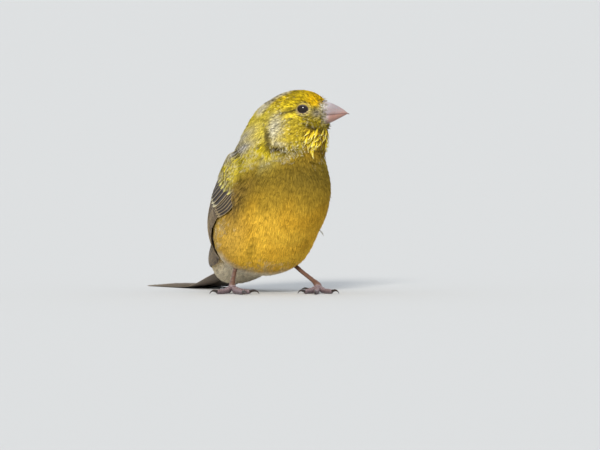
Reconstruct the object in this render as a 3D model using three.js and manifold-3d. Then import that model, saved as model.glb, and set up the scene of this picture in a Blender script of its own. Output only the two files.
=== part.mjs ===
// A life-size wild canary, standing upright with its head turned to its left.
// Millimetres, +Z up. The bird faces -Y, so its own right side is -X, and the floor is the plane z = 0.
import * as THREE from "three";
import { mergeVertices } from "three/addons/utils/BufferGeometryUtils.js";
import Module from "manifold-3d";

const wasm = await Module();
wasm.setup();

// Driving dimensions
const GAP = 0.3; // clearance between pieces that meet
const BLEND = 1.5; // how softly the masses of the body run into each other
const TRUNK_LEAN = 21; // degrees that the trunk leans forward of upright
const HEAD_AT = [4.2, -14.8, 61.6]; // middle of the skull
const HEAD_TURN = 54; // degrees that the head is turned to the bird's left
const EYE_RADIUS = 2.3;
const BILL_ROOT = 6.5; // ahead of the middle of the skull, inside the face
const BILL_TIP = 17.6;
const BILL_WIDTH = 7.2; // at the gape
const WING_THICK = 2.0; // of the folded wing at its thickest
const THIN_EDGE = 0.6; // of wings at their edges
const WING_LIFT = 0.5; // of the wings off the facets of the trunk
const TAIL_ROOT = 17; // where the tail feathers start, behind the origin
const TAIL_END = 71; // the tips of the inner tail feathers
const TAIL_FORK = 4; // how much further the outer ones reach
const TAIL_WIDTH = [11, 21]; // at the root and at the tips
const TAIL_THICK = [2.4, 1.0];
const TAIL_HEIGHT = 8.5; // underside of the root over the floor
const TAIL_FLAT = 50; // behind this the tail lies flat on the floor
const TARSUS_RADIUS = 0.85;
const FOOT_HEIGHT = 2.7; // where the tarsus ends in the toes
const TOE_RADIUS = 0.95;
const CLAW_RADIUS = 0.48;

const v3 = (x, y, z) => new THREE.Vector3(x, y, z);
const rad = THREE.MathUtils.degToRad;
const mix = THREE.MathUtils.lerp;
const smooth = THREE.MathUtils.smoothstep;

// The head's own frame: ahead, to its right, and up
const headCentre = v3(...HEAD_AT);
const forward = v3(Math.sin(rad(HEAD_TURN)), -Math.cos(rad(HEAD_TURN)), 0);
const rightward = v3(forward.y, -forward.x, 0);
function onHead(ahead, right, up) {
  return headCentre.clone().addScaledVector(forward, ahead).addScaledVector(rightward, right).add(v3(0, 0, up));
}

// The outline of the coat is a soft union of egg-shaped masses.
// half: half sizes across, front to back, and up. lean: degrees forward of upright. turn: degrees to the left.
const mass = (at, half, lean = 0, turn = 0) => ({ at, half, lean, turn });
const headMass = (ahead, right, up, half, lean = 0) =>
  mass(onHead(ahead, right, up).toArray(), half, lean, HEAD_TURN);
const MASSES = [
  mass([-0.6, 1.8, 23.6], [18.0, 18.0, 17.8]), // belly
  mass([0.5, -2.6, 30.0], [17.8, 17.6, 14.0], TRUNK_LEAN), // lower breast
  mass([1.3, -6.0, 36.5], [17.7, 19.0, 18.0], TRUNK_LEAN), // breast
  mass([0.2, 10.0, 24.0], [12.9, 9.5, 16.0], TRUNK_LEAN), // back
  mass([0.2, 1.6, 41.5], [13.3, 10.5, 16.5], TRUNK_LEAN + 8), // mantle
  mass([0.9, -9.0, 49.2], [14.6, 14.6, 11.8], TRUNK_LEAN), // neck
  mass([0.6, -6.2, 57.0], [9.6, 8.6, 10.0], TRUNK_LEAN + 12), // nape
  mass([-10.6, 2.5, 18.0], [6.5, 7.5, 9.0]), // right flank over the thigh
  mass([9.0, 2.5, 18.5], [6.5, 7.5, 9.0]), // left flank over the thigh
  mass([0, 17.5, 13.6], [11.5, 14.0, 6.0], -33), // rump, running out over the tail
  mass([0, 19.0, 10.6], [8.6, 14.5, 4.8], -24), // base of the tail
  mass([0, 17.5, 8.8], [7.2, 13.0, 4.4], -12), // vent, running out under the tail
  headMass(-0.6, 0, 0.4, [7.3, 9.8, 8.0]), // skull
  headMass(4.0, 0, 1.6, [5.4, 6.0, 5.6]), // forehead
  headMass(-2.6, 4.2, -6.0, [4.6, 7.0, 6.6], 15), // right cheek
  headMass(-2.6, -4.2, -6.0, [4.6, 7.0, 6.6], 15), // left cheek
  headMass(5.4, 0, -6.6, [5.2, 4.6, 6.8]), // chin and throat
];
for (const m of MASSES) {
  m.centre = v3(...m.at);
  m.toOwn = new THREE.Quaternion().setFromEuler(new THREE.Euler(rad(m.lean), 0, rad(m.turn), "ZYX")).invert();
}

// Signed distance, nearly, from one mass: positive outside
const local = v3(0, 0, 0);
function distanceTo(m, p) {
  local.copy(p).sub(m.centre).applyQuaternion(m.toOwn);
  const [a, b, c] = m.half;
  const k = Math.hypot(local.x / a, local.y / b, local.z / c);
  const g = Math.hypot(local.x / (a * a), local.y / (b * b), local.z / (c * c));
  return g > 1e-6 ? (k * (k - 1)) / g : -Math.min(a, b, c);
}
function body(p) {
  let sum = 0;
  for (const m of MASSES) sum += Math.exp(-distanceTo(m, p) / BLEND);
  return -BLEND * Math.log(sum + 1e-300);
}

// The tail's shape along y: from 0 at its root to 1 at its tips
const tailPart = (y) => THREE.MathUtils.clamp((y - TAIL_ROOT) / (TAIL_END - TAIL_ROOT), 0, 1);
const tailHalfWidth = (y) => mix(TAIL_WIDTH[0], TAIL_WIDTH[1], tailPart(y) ** 0.8) / 2;
const tailThickness = (y) => mix(TAIL_THICK[0], TAIL_THICK[1], tailPart(y));
const tailUnderside = (y) => TAIL_HEIGHT * (1 - smooth(y, TAIL_ROOT - 4, TAIL_FLAT));
function tailSlab(p) {
  const bottom = tailUnderside(p.y);
  const above = p.z - bottom - tailThickness(p.y);
  return Math.max(above, bottom - p.z, Math.abs(p.x) - tailHalfWidth(p.y), TAIL_ROOT - p.y, p.y - TAIL_END);
}
// What the folded wings lie on
const bed = (p) => Math.min(body(p), tailSlab(p));

function slope(field, p) {
  const step = 0.05;
  const rise = (way) =>
    (field(p.clone().addScaledVector(way, step)) - field(p.clone().addScaledVector(way, -step))) / (2 * step);
  return v3(rise(v3(1, 0, 0)), rise(v3(0, 1, 0)), rise(v3(0, 0, 1)));
}
// Slides a point along the field's slope to the given level, but no further than the reach
function settle(field, p, level, reach) {
  const q = p.clone();
  for (let i = 0; i < 6; i++) {
    const g = slope(field, q);
    q.addScaledVector(g, (level - field(q)) / Math.max(g.lengthSq(), 0.05));
  }
  return p.clone().add(q.sub(p).clampLength(0, reach));
}

// The 12 edges of a cell, as pairs of its corners 0 to 7
const EDGES = [];
for (let corner = 0; corner < 8; corner++) {
  for (const bit of [1, 2, 4]) {
    if (!(corner & bit)) EDGES.push([corner, corner | bit]);
  }
}

// A closed surface where the field meets the level, on a grid of cells: one point in each cell that the surface
// passes through, joined across each grid edge that it crosses
function surfaceOf(field, low, high, cell, level = 0) {
  const size = low.map((start, axis) => Math.ceil((high[axis] - start) / cell) + 1);
  const cells = size.map((n) => n - 1);
  const index = (i, j, k) => (k * size[1] + j) * size[0] + i;
  const at = (i, j, k) => v3(low[0] + i * cell, low[1] + j * cell, low[2] + k * cell);
  function each(upTo, run) {
    for (let k = 0; k < upTo[2]; k++) {
      for (let j = 0; j < upTo[1]; j++) {
        for (let i = 0; i < upTo[0]; i++) run(i, j, k);
      }
    }
  }
  const values = new Float64Array(size[0] * size[1] * size[2]);
  each(size, (i, j, k) => {
    values[index(i, j, k)] = field(at(i, j, k)) - level;
  });
  const corner = (i, j, k, c) => [i + (c & 1), j + ((c >> 1) & 1), k + (c >> 2)];
  const points = [];
  const pointOf = new Int32Array(values.length).fill(-1);
  each(cells, (i, j, k) => {
    const middle = v3(0, 0, 0);
    let crossings = 0;
    for (const [a, b] of EDGES) {
      const ends = [corner(i, j, k, a), corner(i, j, k, b)];
      const [va, vb] = ends.map((end) => values[index(...end)]);
      if (va < 0 === vb < 0) continue;
      middle.add(at(...ends[0]).lerp(at(...ends[1]), va / (va - vb)));
      crossings++;
    }
    if (!crossings) return;
    pointOf[index(i, j, k)] = points.length;
    points.push(settle(field, middle.divideScalar(crossings), level, 0.2 * cell));
  });
  const faces = [];
  const steps = [[1, 0, 0], [0, 1, 0], [0, 0, 1]];
  each(cells, (i, j, k) => {
    steps.forEach((step, axis) => {
      const inside = values[index(i, j, k)] < 0;
      if (inside === values[index(i + step[0], j + step[1], k + step[2])] < 0) return;
      const [b, c] = [steps[(axis + 1) % 3], steps[(axis + 2) % 3]];
      const cellAt = (s, t) =>
        pointOf[index(i - s * b[0] - t * c[0], j - s * b[1] - t * c[1], k - s * b[2] - t * c[2])];
      const quad = [cellAt(0, 0), cellAt(1, 0), cellAt(1, 1), cellAt(0, 1)];
      if (!inside) quad.reverse();
      faces.push(quad[0], quad[1], quad[2], quad[0], quad[2], quad[3]);
    });
  });
  return solid(points, faces);
}

// A solid from points and triangles, turned the right way out
function solid(points, faces) {
  const vertProperties = new Float32Array(points.flatMap((p) => [p.x, p.y, p.z]));
  const make = (triVerts) => new wasm.Manifold(new wasm.Mesh({ numProp: 3, vertProperties, triVerts }));
  const made = make(new Uint32Array(faces));
  return made.volume() > 0 ? made : make(new Uint32Array(faces).reverse());
}
function solidOf(geometry) {
  const bare = new THREE.BufferGeometry();
  bare.setAttribute("position", geometry.attributes.position);
  bare.setIndex(geometry.index);
  const merged = mergeVertices(bare, 1e-4);
  const position = merged.attributes.position;
  const points = Array.from({ length: position.count }, (_, i) => v3().fromBufferAttribute(position, i));
  const faces = Array.from(merged.index.array);
  const whole = [];
  for (let f = 0; f < faces.length; f += 3) {
    const [a, b, c] = faces.slice(f, f + 3);
    if (a !== b && b !== c && c !== a) whole.push(a, b, c);
  }
  return solid(points, whole);
}
function geometryOf(made) {
  const mesh = made.getMesh();
  const geometry = new THREE.BufferGeometry();
  geometry.setAttribute("position", new THREE.BufferAttribute(new Float32Array(mesh.vertProperties), 3));
  geometry.setIndex(new THREE.BufferAttribute(new Uint32Array(mesh.triVerts), 1));
  geometry.computeVertexNormals();
  return geometry;
}
const largest = (made) => made.decompose().sort((a, b) => b.volume() - a.volume())[0];

// A solid through rings of equally many points, which all start at the same side. Its ends are flat strips.
function loft(rings) {
  const count = rings[0].length;
  const faces = [];
  for (let r = 0; r + 1 < rings.length; r++) {
    for (let i = 0; i < count; i++) {
      const [a, b] = [r * count + i, r * count + ((i + 1) % count)];
      faces.push(a, b, b + count, a, b + count, a + count);
    }
  }
  const last = (rings.length - 1) * count;
  for (let i = 0; i + 1 < count / 2; i++) {
    const [a, b, c, d] = [i, i + 1, count - 2 - i, count - 1 - i];
    faces.push(b, a, d, last + a, last + b, last + d);
    if (b !== c) faces.push(b, d, c, last + b, last + c, last + d);
  }
  return solid(rings.flat(), faces);
}

// A round bar along a curve, with its radius at each point
function bar(curve, radius, sides, steps) {
  const rings = [];
  for (let s = 0; s <= steps; s++) {
    const t = s / steps;
    const along = curve.getTangentAt(t);
    const side = v3(along.y, -along.x, 0);
    if (side.lengthSq() < 1e-4) side.set(1, 0, 0);
    side.normalize();
    const up = side.clone().cross(along);
    const middle = curve.getPointAt(t);
    const ring = [];
    for (let i = 0; i < sides; i++) {
      const angle = (2 * Math.PI * (i + 0.5)) / sides;
      const edge = middle.clone().addScaledVector(side, radius(t) * Math.cos(angle));
      ring.push(edge.addScaledVector(up, radius(t) * Math.sin(angle)));
    }
    rings.push(ring);
  }
  return loft(rings);
}
const curveThrough = (...points) => new THREE.CatmullRomCurve3(points);
function ball(at, radius, sides) {
  const sphere = new THREE.SphereGeometry(radius, sides, Math.ceil((sides * 2) / 3));
  return solidOf(sphere.translate(at.x, at.y, at.z));
}

const bird = new THREE.Group();
const finish = (colour, roughness) => new THREE.MeshStandardMaterial({ color: colour, roughness, metalness: 0 });
const YELLOW = finish("#c9a227", 0.9);
const CROWN = finish("#cdb32e", 0.9);
const OLIVE = finish("#8d8440", 0.9);
const BROWN = finish("#4a4238", 0.7);
const TAIL_BROWN = finish("#8a7c6a", 0.7);
const HORN = finish("#d8c3b6", 0.4);
const SCUTE = finish("#6b5656", 0.6);
const CLAW = finish("#2b2322", 0.4);
const EYE = finish("#0b0909", 0.1);
function add(name, made, material) {
  const mesh = new THREE.Mesh(geometryOf(made), material);
  mesh.name = name;
  bird.add(mesh);
}

// The line that runs through the body, from the neck to over the tail
const spine = curveThrough(
  v3(0.8, -12, 57),
  v3(0.3, -6.5, 41),
  v3(0, 0, 27),
  v3(0, 8, 16.5),
  v3(0, 18, 10),
  v3(0, 30, 6),
  v3(0, 45, 1.5),
);
// A point on what the wings lie on. t: 0 to 1 along the spine. side: -1 for the right, 1 for the left.
// angle: degrees round it from the middle of the back. level: height over the bed.
function onBed(t, side, angle, level) {
  const from = spine.getPointAt(t);
  const along = spine.getTangentAt(t);
  const back = v3(0, -along.z, along.y).normalize();
  const away = back.multiplyScalar(Math.cos(rad(angle))).add(v3(side * Math.sin(rad(angle)), 0, 0));
  let [near, far] = [0, 40];
  for (let i = 0; i < 30; i++) {
    const middle = (near + far) / 2;
    if (bed(from.clone().addScaledVector(away, middle)) < level) near = middle;
    else far = middle;
  }
  return from.addScaledVector(away, near);
}

// Folded wings. The front edge runs from the bend of the wing down the flank, the back edge along the middle of
// the back, and both meet at the tip over the tail. Each row: place along the spine, front angle, back angle.
const WING_ROWS = [
  [0.15, 90, 62],
  [0.19, 105, 42],
  [0.25, 117, 27],
  [0.32, 109, 17],
  [0.38, 98, 11],
  [0.45, 94, 8],
  [0.52, 96, 7],
  [0.6, 101, 7],
  [0.67, 100, 8],
  [0.74, 92, 10],
  [0.82, 78, 14],
  [0.89, 64, 26],
  [0.94, 54, 38],
];
const wingRow = (u) => {
  const at = u * (WING_ROWS.length - 1);
  const row = Math.min(Math.floor(at), WING_ROWS.length - 2);
  return WING_ROWS[row].map((value, i) => mix(value, WING_ROWS[row + 1][i], at - row));
};
const LEFT_WING_FRONT = 86; // the breast covers the rest of the left wing
const WING_STEPS = 16;
const WING_ACROSS = 7; // points from edge to edge
function wing(side) {
  const rings = [];
  for (let s = 0; s <= WING_STEPS; s++) {
    const u = s / WING_STEPS;
    const [t, uncovered, back] = wingRow(u);
    const front = side < 0 ? uncovered : Math.min(uncovered, LEFT_WING_FRONT);
    const ends = smooth(u, 0, 0.35) * (1 - 0.6 * smooth(u, 0.45, 1));
    const inner = [];
    const outer = [];
    for (let i = 0; i < WING_ACROSS; i++) {
      const w = (2 * i) / (WING_ACROSS - 1) - 1;
      const angle = mix(front, back, (w + 1) / 2);
      const thick = THIN_EDGE + (WING_THICK - THIN_EDGE) * Math.sqrt(1 - w * w) * ends;
      inner.push(onBed(t, side, angle, WING_LIFT));
      outer.unshift(onBed(t, side, angle, WING_LIFT + thick));
    }
    rings.push([...inner, ...outer]);
  }
  return loft(rings);
}
const wings = { right: wing(-1), left: wing(1) };

// Head, neck and trunk share one surface and are parted by thin cuts. The head has the finest facets.
const HEAD_CUT = { at: v3(2.6, -12, 53.2), facing: v3(0.24, -0.4, 0.88).normalize() };
const NECK_CUT = { at: v3(0.6, -8, 44), facing: v3(0.04, -0.36, 0.93).normalize() };
function above(made, cut) {
  return made.trimByPlane(cut.facing.toArray(), cut.at.dot(cut.facing) + GAP / 2);
}
function below(made, cut) {
  return made.trimByPlane(cut.facing.clone().negate().toArray(), GAP / 2 - cut.at.dot(cut.facing));
}
const HEAD_CELL = 1.95;
const TRUNK_CELL = 3.7;
const GROWN_CELL = 2.2;
const LOW = [-24, -34, 0]; // a box around head and body
const HIGH = [26, 42, 74];
const between = (from, to) => (p) => Math.max(body(p), from - p.z, p.z - to);
const fine = surfaceOf(between(46, 80), LOW, HIGH, HEAD_CELL);
const coarse = surfaceOf(between(0, 62), LOW, HIGH, TRUNK_CELL);
const bodyGrown = surfaceOf(body, LOW, HIGH, GROWN_CELL, GAP);
let head = above(fine, HEAD_CUT);
add("neck", above(below(coarse, HEAD_CUT), NECK_CUT), OLIVE);

// Thighs: the feathered tops of the legs, parted from the trunk round each leg's root
let trunk = below(coarse, NECK_CUT);
const THIGHS = { right: v3(-10.4, 2.8, 14.0), left: v3(10.0, -0.4, 13.6) };
const THIGH_RADIUS = 6.4;
for (const [name, at] of Object.entries(THIGHS)) {
  add(`thigh_${name}`, largest(ball(at, THIGH_RADIUS, 14).intersect(trunk)), YELLOW);
  trunk = trunk.subtract(ball(at, THIGH_RADIUS + GAP, 14));
}
add("trunk", largest(trunk), YELLOW);
for (const [name, made] of Object.entries(wings)) add(`wing_${name}`, made, BROWN);

// Eyes, each in its socket
const EYES = { right: onHead(2.9, 5.35, 2.3), left: onHead(2.9, -5.35, 2.3) };
for (const [name, at] of Object.entries(EYES)) {
  head = head.subtract(ball(at, EYE_RADIUS + GAP, 12));
  add(`eye_${name}`, ball(at, EYE_RADIUS, 12), EYE);
}
add("head", largest(head), CROWN);

// Bill: two half cones that meet along the line of the gape. up: from the middle of the skull.
const culmen = (t) => 5.2 - 4.3 * t ** 1.9;
const gonys = (t) => -4.4 + 5.1 * t ** 1.25;
const tomium = (t) => -0.3 + 1.05 * t;
const billHalfWidth = (t) => (BILL_WIDTH / 2) * (1 - t ** 1.35) + 0.28;
const BILL_STEPS = 10;
const BILL_ARC = 6;
function mandible(edge, side) {
  const rings = [];
  for (let s = 0; s <= BILL_STEPS; s++) {
    const t = s / BILL_STEPS;
    const base = tomium(t) + side * (GAP / 2);
    const high = side * Math.max(side * (edge(t) - base), 0.35);
    const ring = [];
    const ahead = mix(BILL_ROOT, BILL_TIP, t);
    for (let i = 0; i <= BILL_ARC; i++) {
      const angle = (Math.PI * i) / BILL_ARC;
      ring.push(onHead(ahead, billHalfWidth(t) * Math.cos(angle), base + high * Math.sin(angle)));
    }
    ring.push(onHead(ahead, 0, base));
    rings.push(ring);
  }
  return largest(loft(rings).subtract(bodyGrown));
}
add("bill_upper", mandible(culmen, 1), HORN);
add("bill_lower", mandible(gonys, -1), HORN);

// Tail: a forked fan that comes out between rump and vent, bends back and lies on the floor
const TAIL_STEPS = 15;
const TAIL_ACROSS = 6;
const tailRings = [];
for (let s = 0; s <= TAIL_STEPS; s++) {
  const u = s / TAIL_STEPS;
  const under = [];
  const over = [];
  for (let i = 0; i <= TAIL_ACROSS; i++) {
    const w = (2 * i) / TAIL_ACROSS - 1;
    const y = mix(TAIL_ROOT, TAIL_END + TAIL_FORK * Math.abs(w) ** 1.5, u);
    const x = w * tailHalfWidth(y);
    const thick = tailThickness(y) * (1 - 0.4 * w * w);
    under.push(v3(x, y, tailUnderside(y)));
    over.unshift(v3(x, y, tailUnderside(y) + thick));
  }
  tailRings.push([...under, ...over]);
}
add("tail", largest(loft(tailRings).subtract(bodyGrown)), TAIL_BROWN);

// Legs. heading: degrees from straight ahead to the bird's left. Toes run inner, middle, outer and hind.
const TOES = [
  { name: "middle", length: 12, pads: 3, claw: 4.8 },
  { name: "inner", length: 8.6, pads: 2, claw: 4.4 },
  { name: "outer", length: 8.8, pads: 3, claw: 4.2 },
  { name: "hind", length: 7.2, pads: 2, claw: 6.2 },
];
const LEGS = {
  right: { ankle: v3(-7.3, 6.1, 18), foot: v3(-14, -0.4, FOOT_HEIGHT), headings: [-8, 20, -62, 174] },
  left: { ankle: v3(7.3, 2.8, 12.8), foot: v3(14, -10.4, FOOT_HEIGHT), headings: [-30, -58, 8, 180] },
};
const KNOB = 1.25; // radius of the joint that the toes spring from
const TOE_START = 0.5; // from the middle of that joint
const TOE_FALL = 3.4; // how far out a toe reaches the floor
const TOE_SINK = 0.8; // a resting toe's middle is this part of its radius over the floor
const TOE_SIDES = 8;
const toFloor = (made) => made.trimByPlane([0, 0, 1], 0);

for (const [side, leg] of Object.entries(LEGS)) {
  const shank = curveThrough(leg.ankle, leg.ankle.clone().lerp(leg.foot, 0.5), leg.foot);
  const tarsus = (grow) => {
    const shaft = bar(shank, (t) => TARSUS_RADIUS * (1 + 0.35 * smooth(t, 0.8, 1)) + grow, 8, 4);
    return shaft.add(ball(leg.foot.clone().setZ(FOOT_HEIGHT - 0.6), KNOB + grow, 8));
  };
  add(`tarsus_${side}`, largest(tarsus(0).subtract(bodyGrown)), SCUTE);
  let taken = tarsus(GAP);
  TOES.forEach(({ name, length, pads, claw }, i) => {
    const heading = rad(leg.headings[i]);
    const out = (distance, height) =>
      v3(leg.foot.x + Math.sin(heading) * distance, leg.foot.y - Math.cos(heading) * distance, height);
    const rest = TOE_SINK * TOE_RADIUS;
    const path = curveThrough(
      out(TOE_START, FOOT_HEIGHT - 0.6),
      out(TOE_FALL, rest + 0.1),
      out(length * 0.6, rest),
      out(length, rest),
    );
    const girth = (t) => TOE_RADIUS * (1 - 0.18 * t) * (1 + 0.1 * Math.cos(2 * Math.PI * pads * (1 - t)));
    const toe = (grow) => bar(path, (t) => girth(t) + grow, TOE_SIDES, 2 * pads + 3);
    add(`toe_${side}_${name}`, largest(toFloor(toe(0).subtract(taken))), SCUTE);
    const hook = curveThrough(
      out(length + GAP, 0.9),
      out(length + 0.5 * claw, 1.3),
      out(length + 0.85 * claw, 0.95),
      out(length + claw, 0.45),
    );
    add(`claw_${side}_${name}`, bar(hook, (t) => CLAW_RADIUS * (1 - 0.7 * t), 6, 5), CLAW);
    taken = taken.add(toe(GAP));
  });
}

// The origin is on the floor under the middle of the whole bird
const box = new THREE.Box3().setFromObject(bird);
const middle = box.getCenter(v3(0, 0, 0));
bird.position.set(-middle.x, -middle.y, -box.min.z);
const canary = new THREE.Group();
canary.add(bird);

export default canary;
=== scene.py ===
import math

import bmesh
import bpy
import numpy as np
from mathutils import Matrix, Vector


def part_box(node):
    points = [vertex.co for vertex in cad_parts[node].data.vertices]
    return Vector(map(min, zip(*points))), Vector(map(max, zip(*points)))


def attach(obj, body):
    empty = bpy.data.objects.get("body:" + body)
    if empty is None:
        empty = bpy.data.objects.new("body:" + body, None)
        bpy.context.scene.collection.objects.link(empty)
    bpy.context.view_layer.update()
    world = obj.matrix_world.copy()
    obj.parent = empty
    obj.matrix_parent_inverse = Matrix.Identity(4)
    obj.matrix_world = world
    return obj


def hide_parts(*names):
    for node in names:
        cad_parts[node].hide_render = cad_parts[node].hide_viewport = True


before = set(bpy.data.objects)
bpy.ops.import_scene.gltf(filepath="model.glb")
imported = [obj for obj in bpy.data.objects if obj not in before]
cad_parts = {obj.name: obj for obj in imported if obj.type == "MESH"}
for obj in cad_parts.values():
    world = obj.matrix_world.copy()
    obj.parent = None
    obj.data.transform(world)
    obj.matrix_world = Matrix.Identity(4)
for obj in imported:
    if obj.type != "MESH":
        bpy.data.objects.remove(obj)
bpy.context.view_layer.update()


# Where the bird stands. Its own measures are millimetres from the floor under its breast, facing -Y, and
# the head has a frame of its own, turned to the bird's left. The frame's origin is under the middle of the
# whole bird, so one eye, which the frame also holds, gives the way from one to the other.
MM = 0.001
HEAD_AT = np.array([4.2, -14.8, 61.6])
HEAD_TURN = math.radians(54)
HEAD_FORWARD = np.array([math.sin(HEAD_TURN), -math.cos(HEAD_TURN), 0.0])
HEAD_RIGHT = np.array([HEAD_FORWARD[1], -HEAD_FORWARD[0], 0.0])
UP = np.array([0.0, 0.0, 1.0])
EYE_AT = (2.9, 5.35, 2.3)


def on_head(ahead, right, up):
    ahead, right, up = (np.asarray(value, float)[..., None] for value in (ahead, right, up))
    return HEAD_AT + ahead * HEAD_FORWARD + right * HEAD_RIGHT + up * UP


def head_places(points):
    """Points as places ahead of the middle of the skull, to its right, and over it."""
    away = points - HEAD_AT
    return np.stack([away @ HEAD_FORWARD, away @ HEAD_RIGHT, away[:, 2]], 1)


eye_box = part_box("eye_right")
ORIGIN = np.array((eye_box[0] + eye_box[1]) / 2) / MM - on_head(*EYE_AT)


def to_metres(points):
    return (np.asarray(points) + ORIGIN) * MM


# Camera, daylight and floor. A long lens a little above the floor, in front of the bird's right breast. The
# sun is high, wide and soft, and the floor is plain and pale.
PIXELS_WIDE = 600
PIXELS_PER_MM = 2.9
VIEW_TURN = math.radians(-26)
VIEW_RISE = math.radians(2)
VIEW_DISTANCE = 5.0
SIGHT = (9.9, -4.8, 23.4)
SENSOR_WIDTH = 36
view_back = Vector(
    (
        math.sin(VIEW_TURN) * math.cos(VIEW_RISE),
        -math.cos(VIEW_TURN) * math.cos(VIEW_RISE),
        math.sin(VIEW_RISE),
    )
)
camera = bpy.data.objects.new("camera", bpy.data.cameras.new("camera"))
bpy.context.scene.collection.objects.link(camera)
camera.location = Vector(to_metres(SIGHT)) + view_back * VIEW_DISTANCE
camera.rotation_euler = view_back.to_track_quat("Z", "Y").to_euler()
camera.data.sensor_width = SENSOR_WIDTH
camera.data.lens = SENSOR_WIDTH * VIEW_DISTANCE / (PIXELS_WIDE / PIXELS_PER_MM * MM)
bpy.context.scene.camera = camera
bpy.context.scene.view_settings.view_transform = "Standard"

SUN_WAY = (-0.5, -0.72, 0.48)
SUN_STRENGTH = 3.5
SUN_WIDTH = math.radians(14)
SUN_COLOUR = (1.0, 0.97, 0.91)
sun = bpy.data.objects.new("sun", bpy.data.lights.new("sun", "SUN"))
bpy.context.scene.collection.objects.link(sun)
sun.rotation_euler = Vector(SUN_WAY).to_track_quat("Z", "Y").to_euler()
sun.data.energy = SUN_STRENGTH
sun.data.angle = SUN_WIDTH
sun.data.color = SUN_COLOUR

SKY_STRENGTH = 1.0
SKY_COLOUR = (0.86, 0.92, 1.0, 1)
world = bpy.data.worlds.new("sky")
world.use_nodes = True
background = world.node_tree.nodes["Background"]
background.inputs["Color"].default_value = SKY_COLOUR
background.inputs["Strength"].default_value = SKY_STRENGTH
bpy.context.scene.world = world

FLOOR_REACH = 15.0 / MM
FLOOR_COLOUR = (0.5, 0.494, 0.48)


def plain_material(name, colour, roughness):
    material = bpy.data.materials.new(name)
    material.use_nodes = True
    shader = material.node_tree.nodes["Principled BSDF"]
    shader.inputs["Base Color"].default_value = (*colour, 1)
    shader.inputs["Roughness"].default_value = roughness
    return material, shader


def add_mesh(name, points, faces, smooth=True):
    """A mesh object from points in the bird's millimetres and faces that have equal numbers of corners."""
    mesh = bpy.data.meshes.new(name)
    faces = np.asarray(faces)
    mesh.vertices.add(len(points))
    mesh.vertices.foreach_set("co", to_metres(points).astype(np.float32).ravel())
    mesh.loops.add(faces.size)
    mesh.loops.foreach_set("vertex_index", faces.astype(np.int32).ravel())
    mesh.polygons.add(len(faces))
    mesh.polygons.foreach_set("loop_start", np.arange(0, faces.size, faces.shape[1], dtype=np.int32))
    mesh.update(calc_edges=True)
    mesh.validate()
    if smooth:
        mesh.shade_smooth()
    piece = bpy.data.objects.new(name, mesh)
    bpy.context.scene.collection.objects.link(piece)
    return piece


floor_points = [(x * FLOOR_REACH, y * FLOOR_REACH, 0) for x, y in ((-1, -1), (1, -1), (1, 1), (-1, 1))]
floor = add_mesh("floor", floor_points, [(0, 1, 2, 3)], smooth=False)
floor.data.materials.append(plain_material("pale floor", FLOOR_COLOUR, 0.9)[0])


# The form of the body: the outline of the coat is a soft union of egg-shaped masses, as the solids are.
# Each has its middle, its half sizes across, front to back and up, how far it leans forward of upright, and
# its turn to the left.
BLEND = 1.5
TRUNK_LEAN = 21
HEAD_DEGREES = math.degrees(HEAD_TURN)
MASSES = [
    ((-0.6, 1.8, 23.6), (18.0, 18.0, 17.8), 0, 0),  # belly
    ((0.5, -2.6, 30.0), (17.8, 17.6, 14.0), TRUNK_LEAN, 0),  # lower breast
    ((1.3, -6.0, 36.5), (17.7, 19.0, 18.0), TRUNK_LEAN, 0),  # breast
    ((0.2, 10.0, 24.0), (12.9, 9.5, 16.0), TRUNK_LEAN, 0),  # back
    ((0.2, 1.6, 41.5), (13.3, 10.5, 16.5), TRUNK_LEAN + 8, 0),  # mantle
    ((0.9, -9.0, 49.2), (14.6, 14.6, 11.8), TRUNK_LEAN, 0),  # neck
    ((0.6, -6.2, 57.0), (9.6, 8.6, 10.0), TRUNK_LEAN + 12, 0),  # nape
    ((-10.6, 2.5, 18.0), (6.5, 7.5, 9.0), 0, 0),  # right flank over the thigh
    ((9.0, 2.5, 18.5), (6.5, 7.5, 9.0), 0, 0),  # left flank over the thigh
    ((0, 17.5, 13.6), (11.5, 14.0, 6.0), -33, 0),  # rump
    ((0, 19.0, 10.6), (8.6, 14.5, 4.8), -24, 0),  # base of the tail
    ((0, 17.5, 8.8), (7.2, 13.0, 4.4), -12, 0),  # vent
    (on_head(-0.6, 0, 0.4), (7.3, 9.8, 8.0), 0, HEAD_DEGREES),  # skull
    (on_head(4.0, 0, 1.6), (5.4, 6.0, 5.6), 0, HEAD_DEGREES),  # forehead
    (on_head(-2.6, 4.2, -6.0), (4.6, 7.0, 6.6), 15, HEAD_DEGREES),  # right cheek
    (on_head(-2.6, -4.2, -6.0), (4.6, 7.0, 6.6), 15, HEAD_DEGREES),  # left cheek
    (on_head(5.4, 0, -6.6), (5.2, 4.6, 6.8), 0, HEAD_DEGREES),  # chin and throat
]


def own_axes(lean, turn):
    c, s = math.cos(math.radians(lean)), math.sin(math.radians(lean))
    d, e = math.cos(math.radians(turn)), math.sin(math.radians(turn))
    leaning = np.array([[1, 0, 0], [0, c, -s], [0, s, c]])
    turning = np.array([[d, -e, 0], [e, d, 0], [0, 0, 1]])
    return turning @ leaning


EGGS = [(np.array(at), np.array(half), own_axes(lean, turn)) for at, half, lean, turn in MASSES]


def body_height(points):
    """Height over the outline of the coat, nearly: negative inside."""
    total = np.zeros(len(points))
    for at, half, axes in EGGS:
        own = (points - at) @ axes
        k = np.linalg.norm(own / half, axis=1)
        g = np.linalg.norm(own / half**2, axis=1)
        total += np.exp(-k * (k - 1) / np.maximum(g, 1e-9) / BLEND)
    return -BLEND * np.log(total + 1e-300)


def slope(field, points, step=0.05):
    rises = [field(points + step * way) - field(points - step * way) for way in np.eye(3)]
    return np.stack(rises, 1) / (2 * step)


def unit(vectors):
    return vectors / np.maximum(np.linalg.norm(vectors, axis=-1, keepdims=True), 1e-9)


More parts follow.
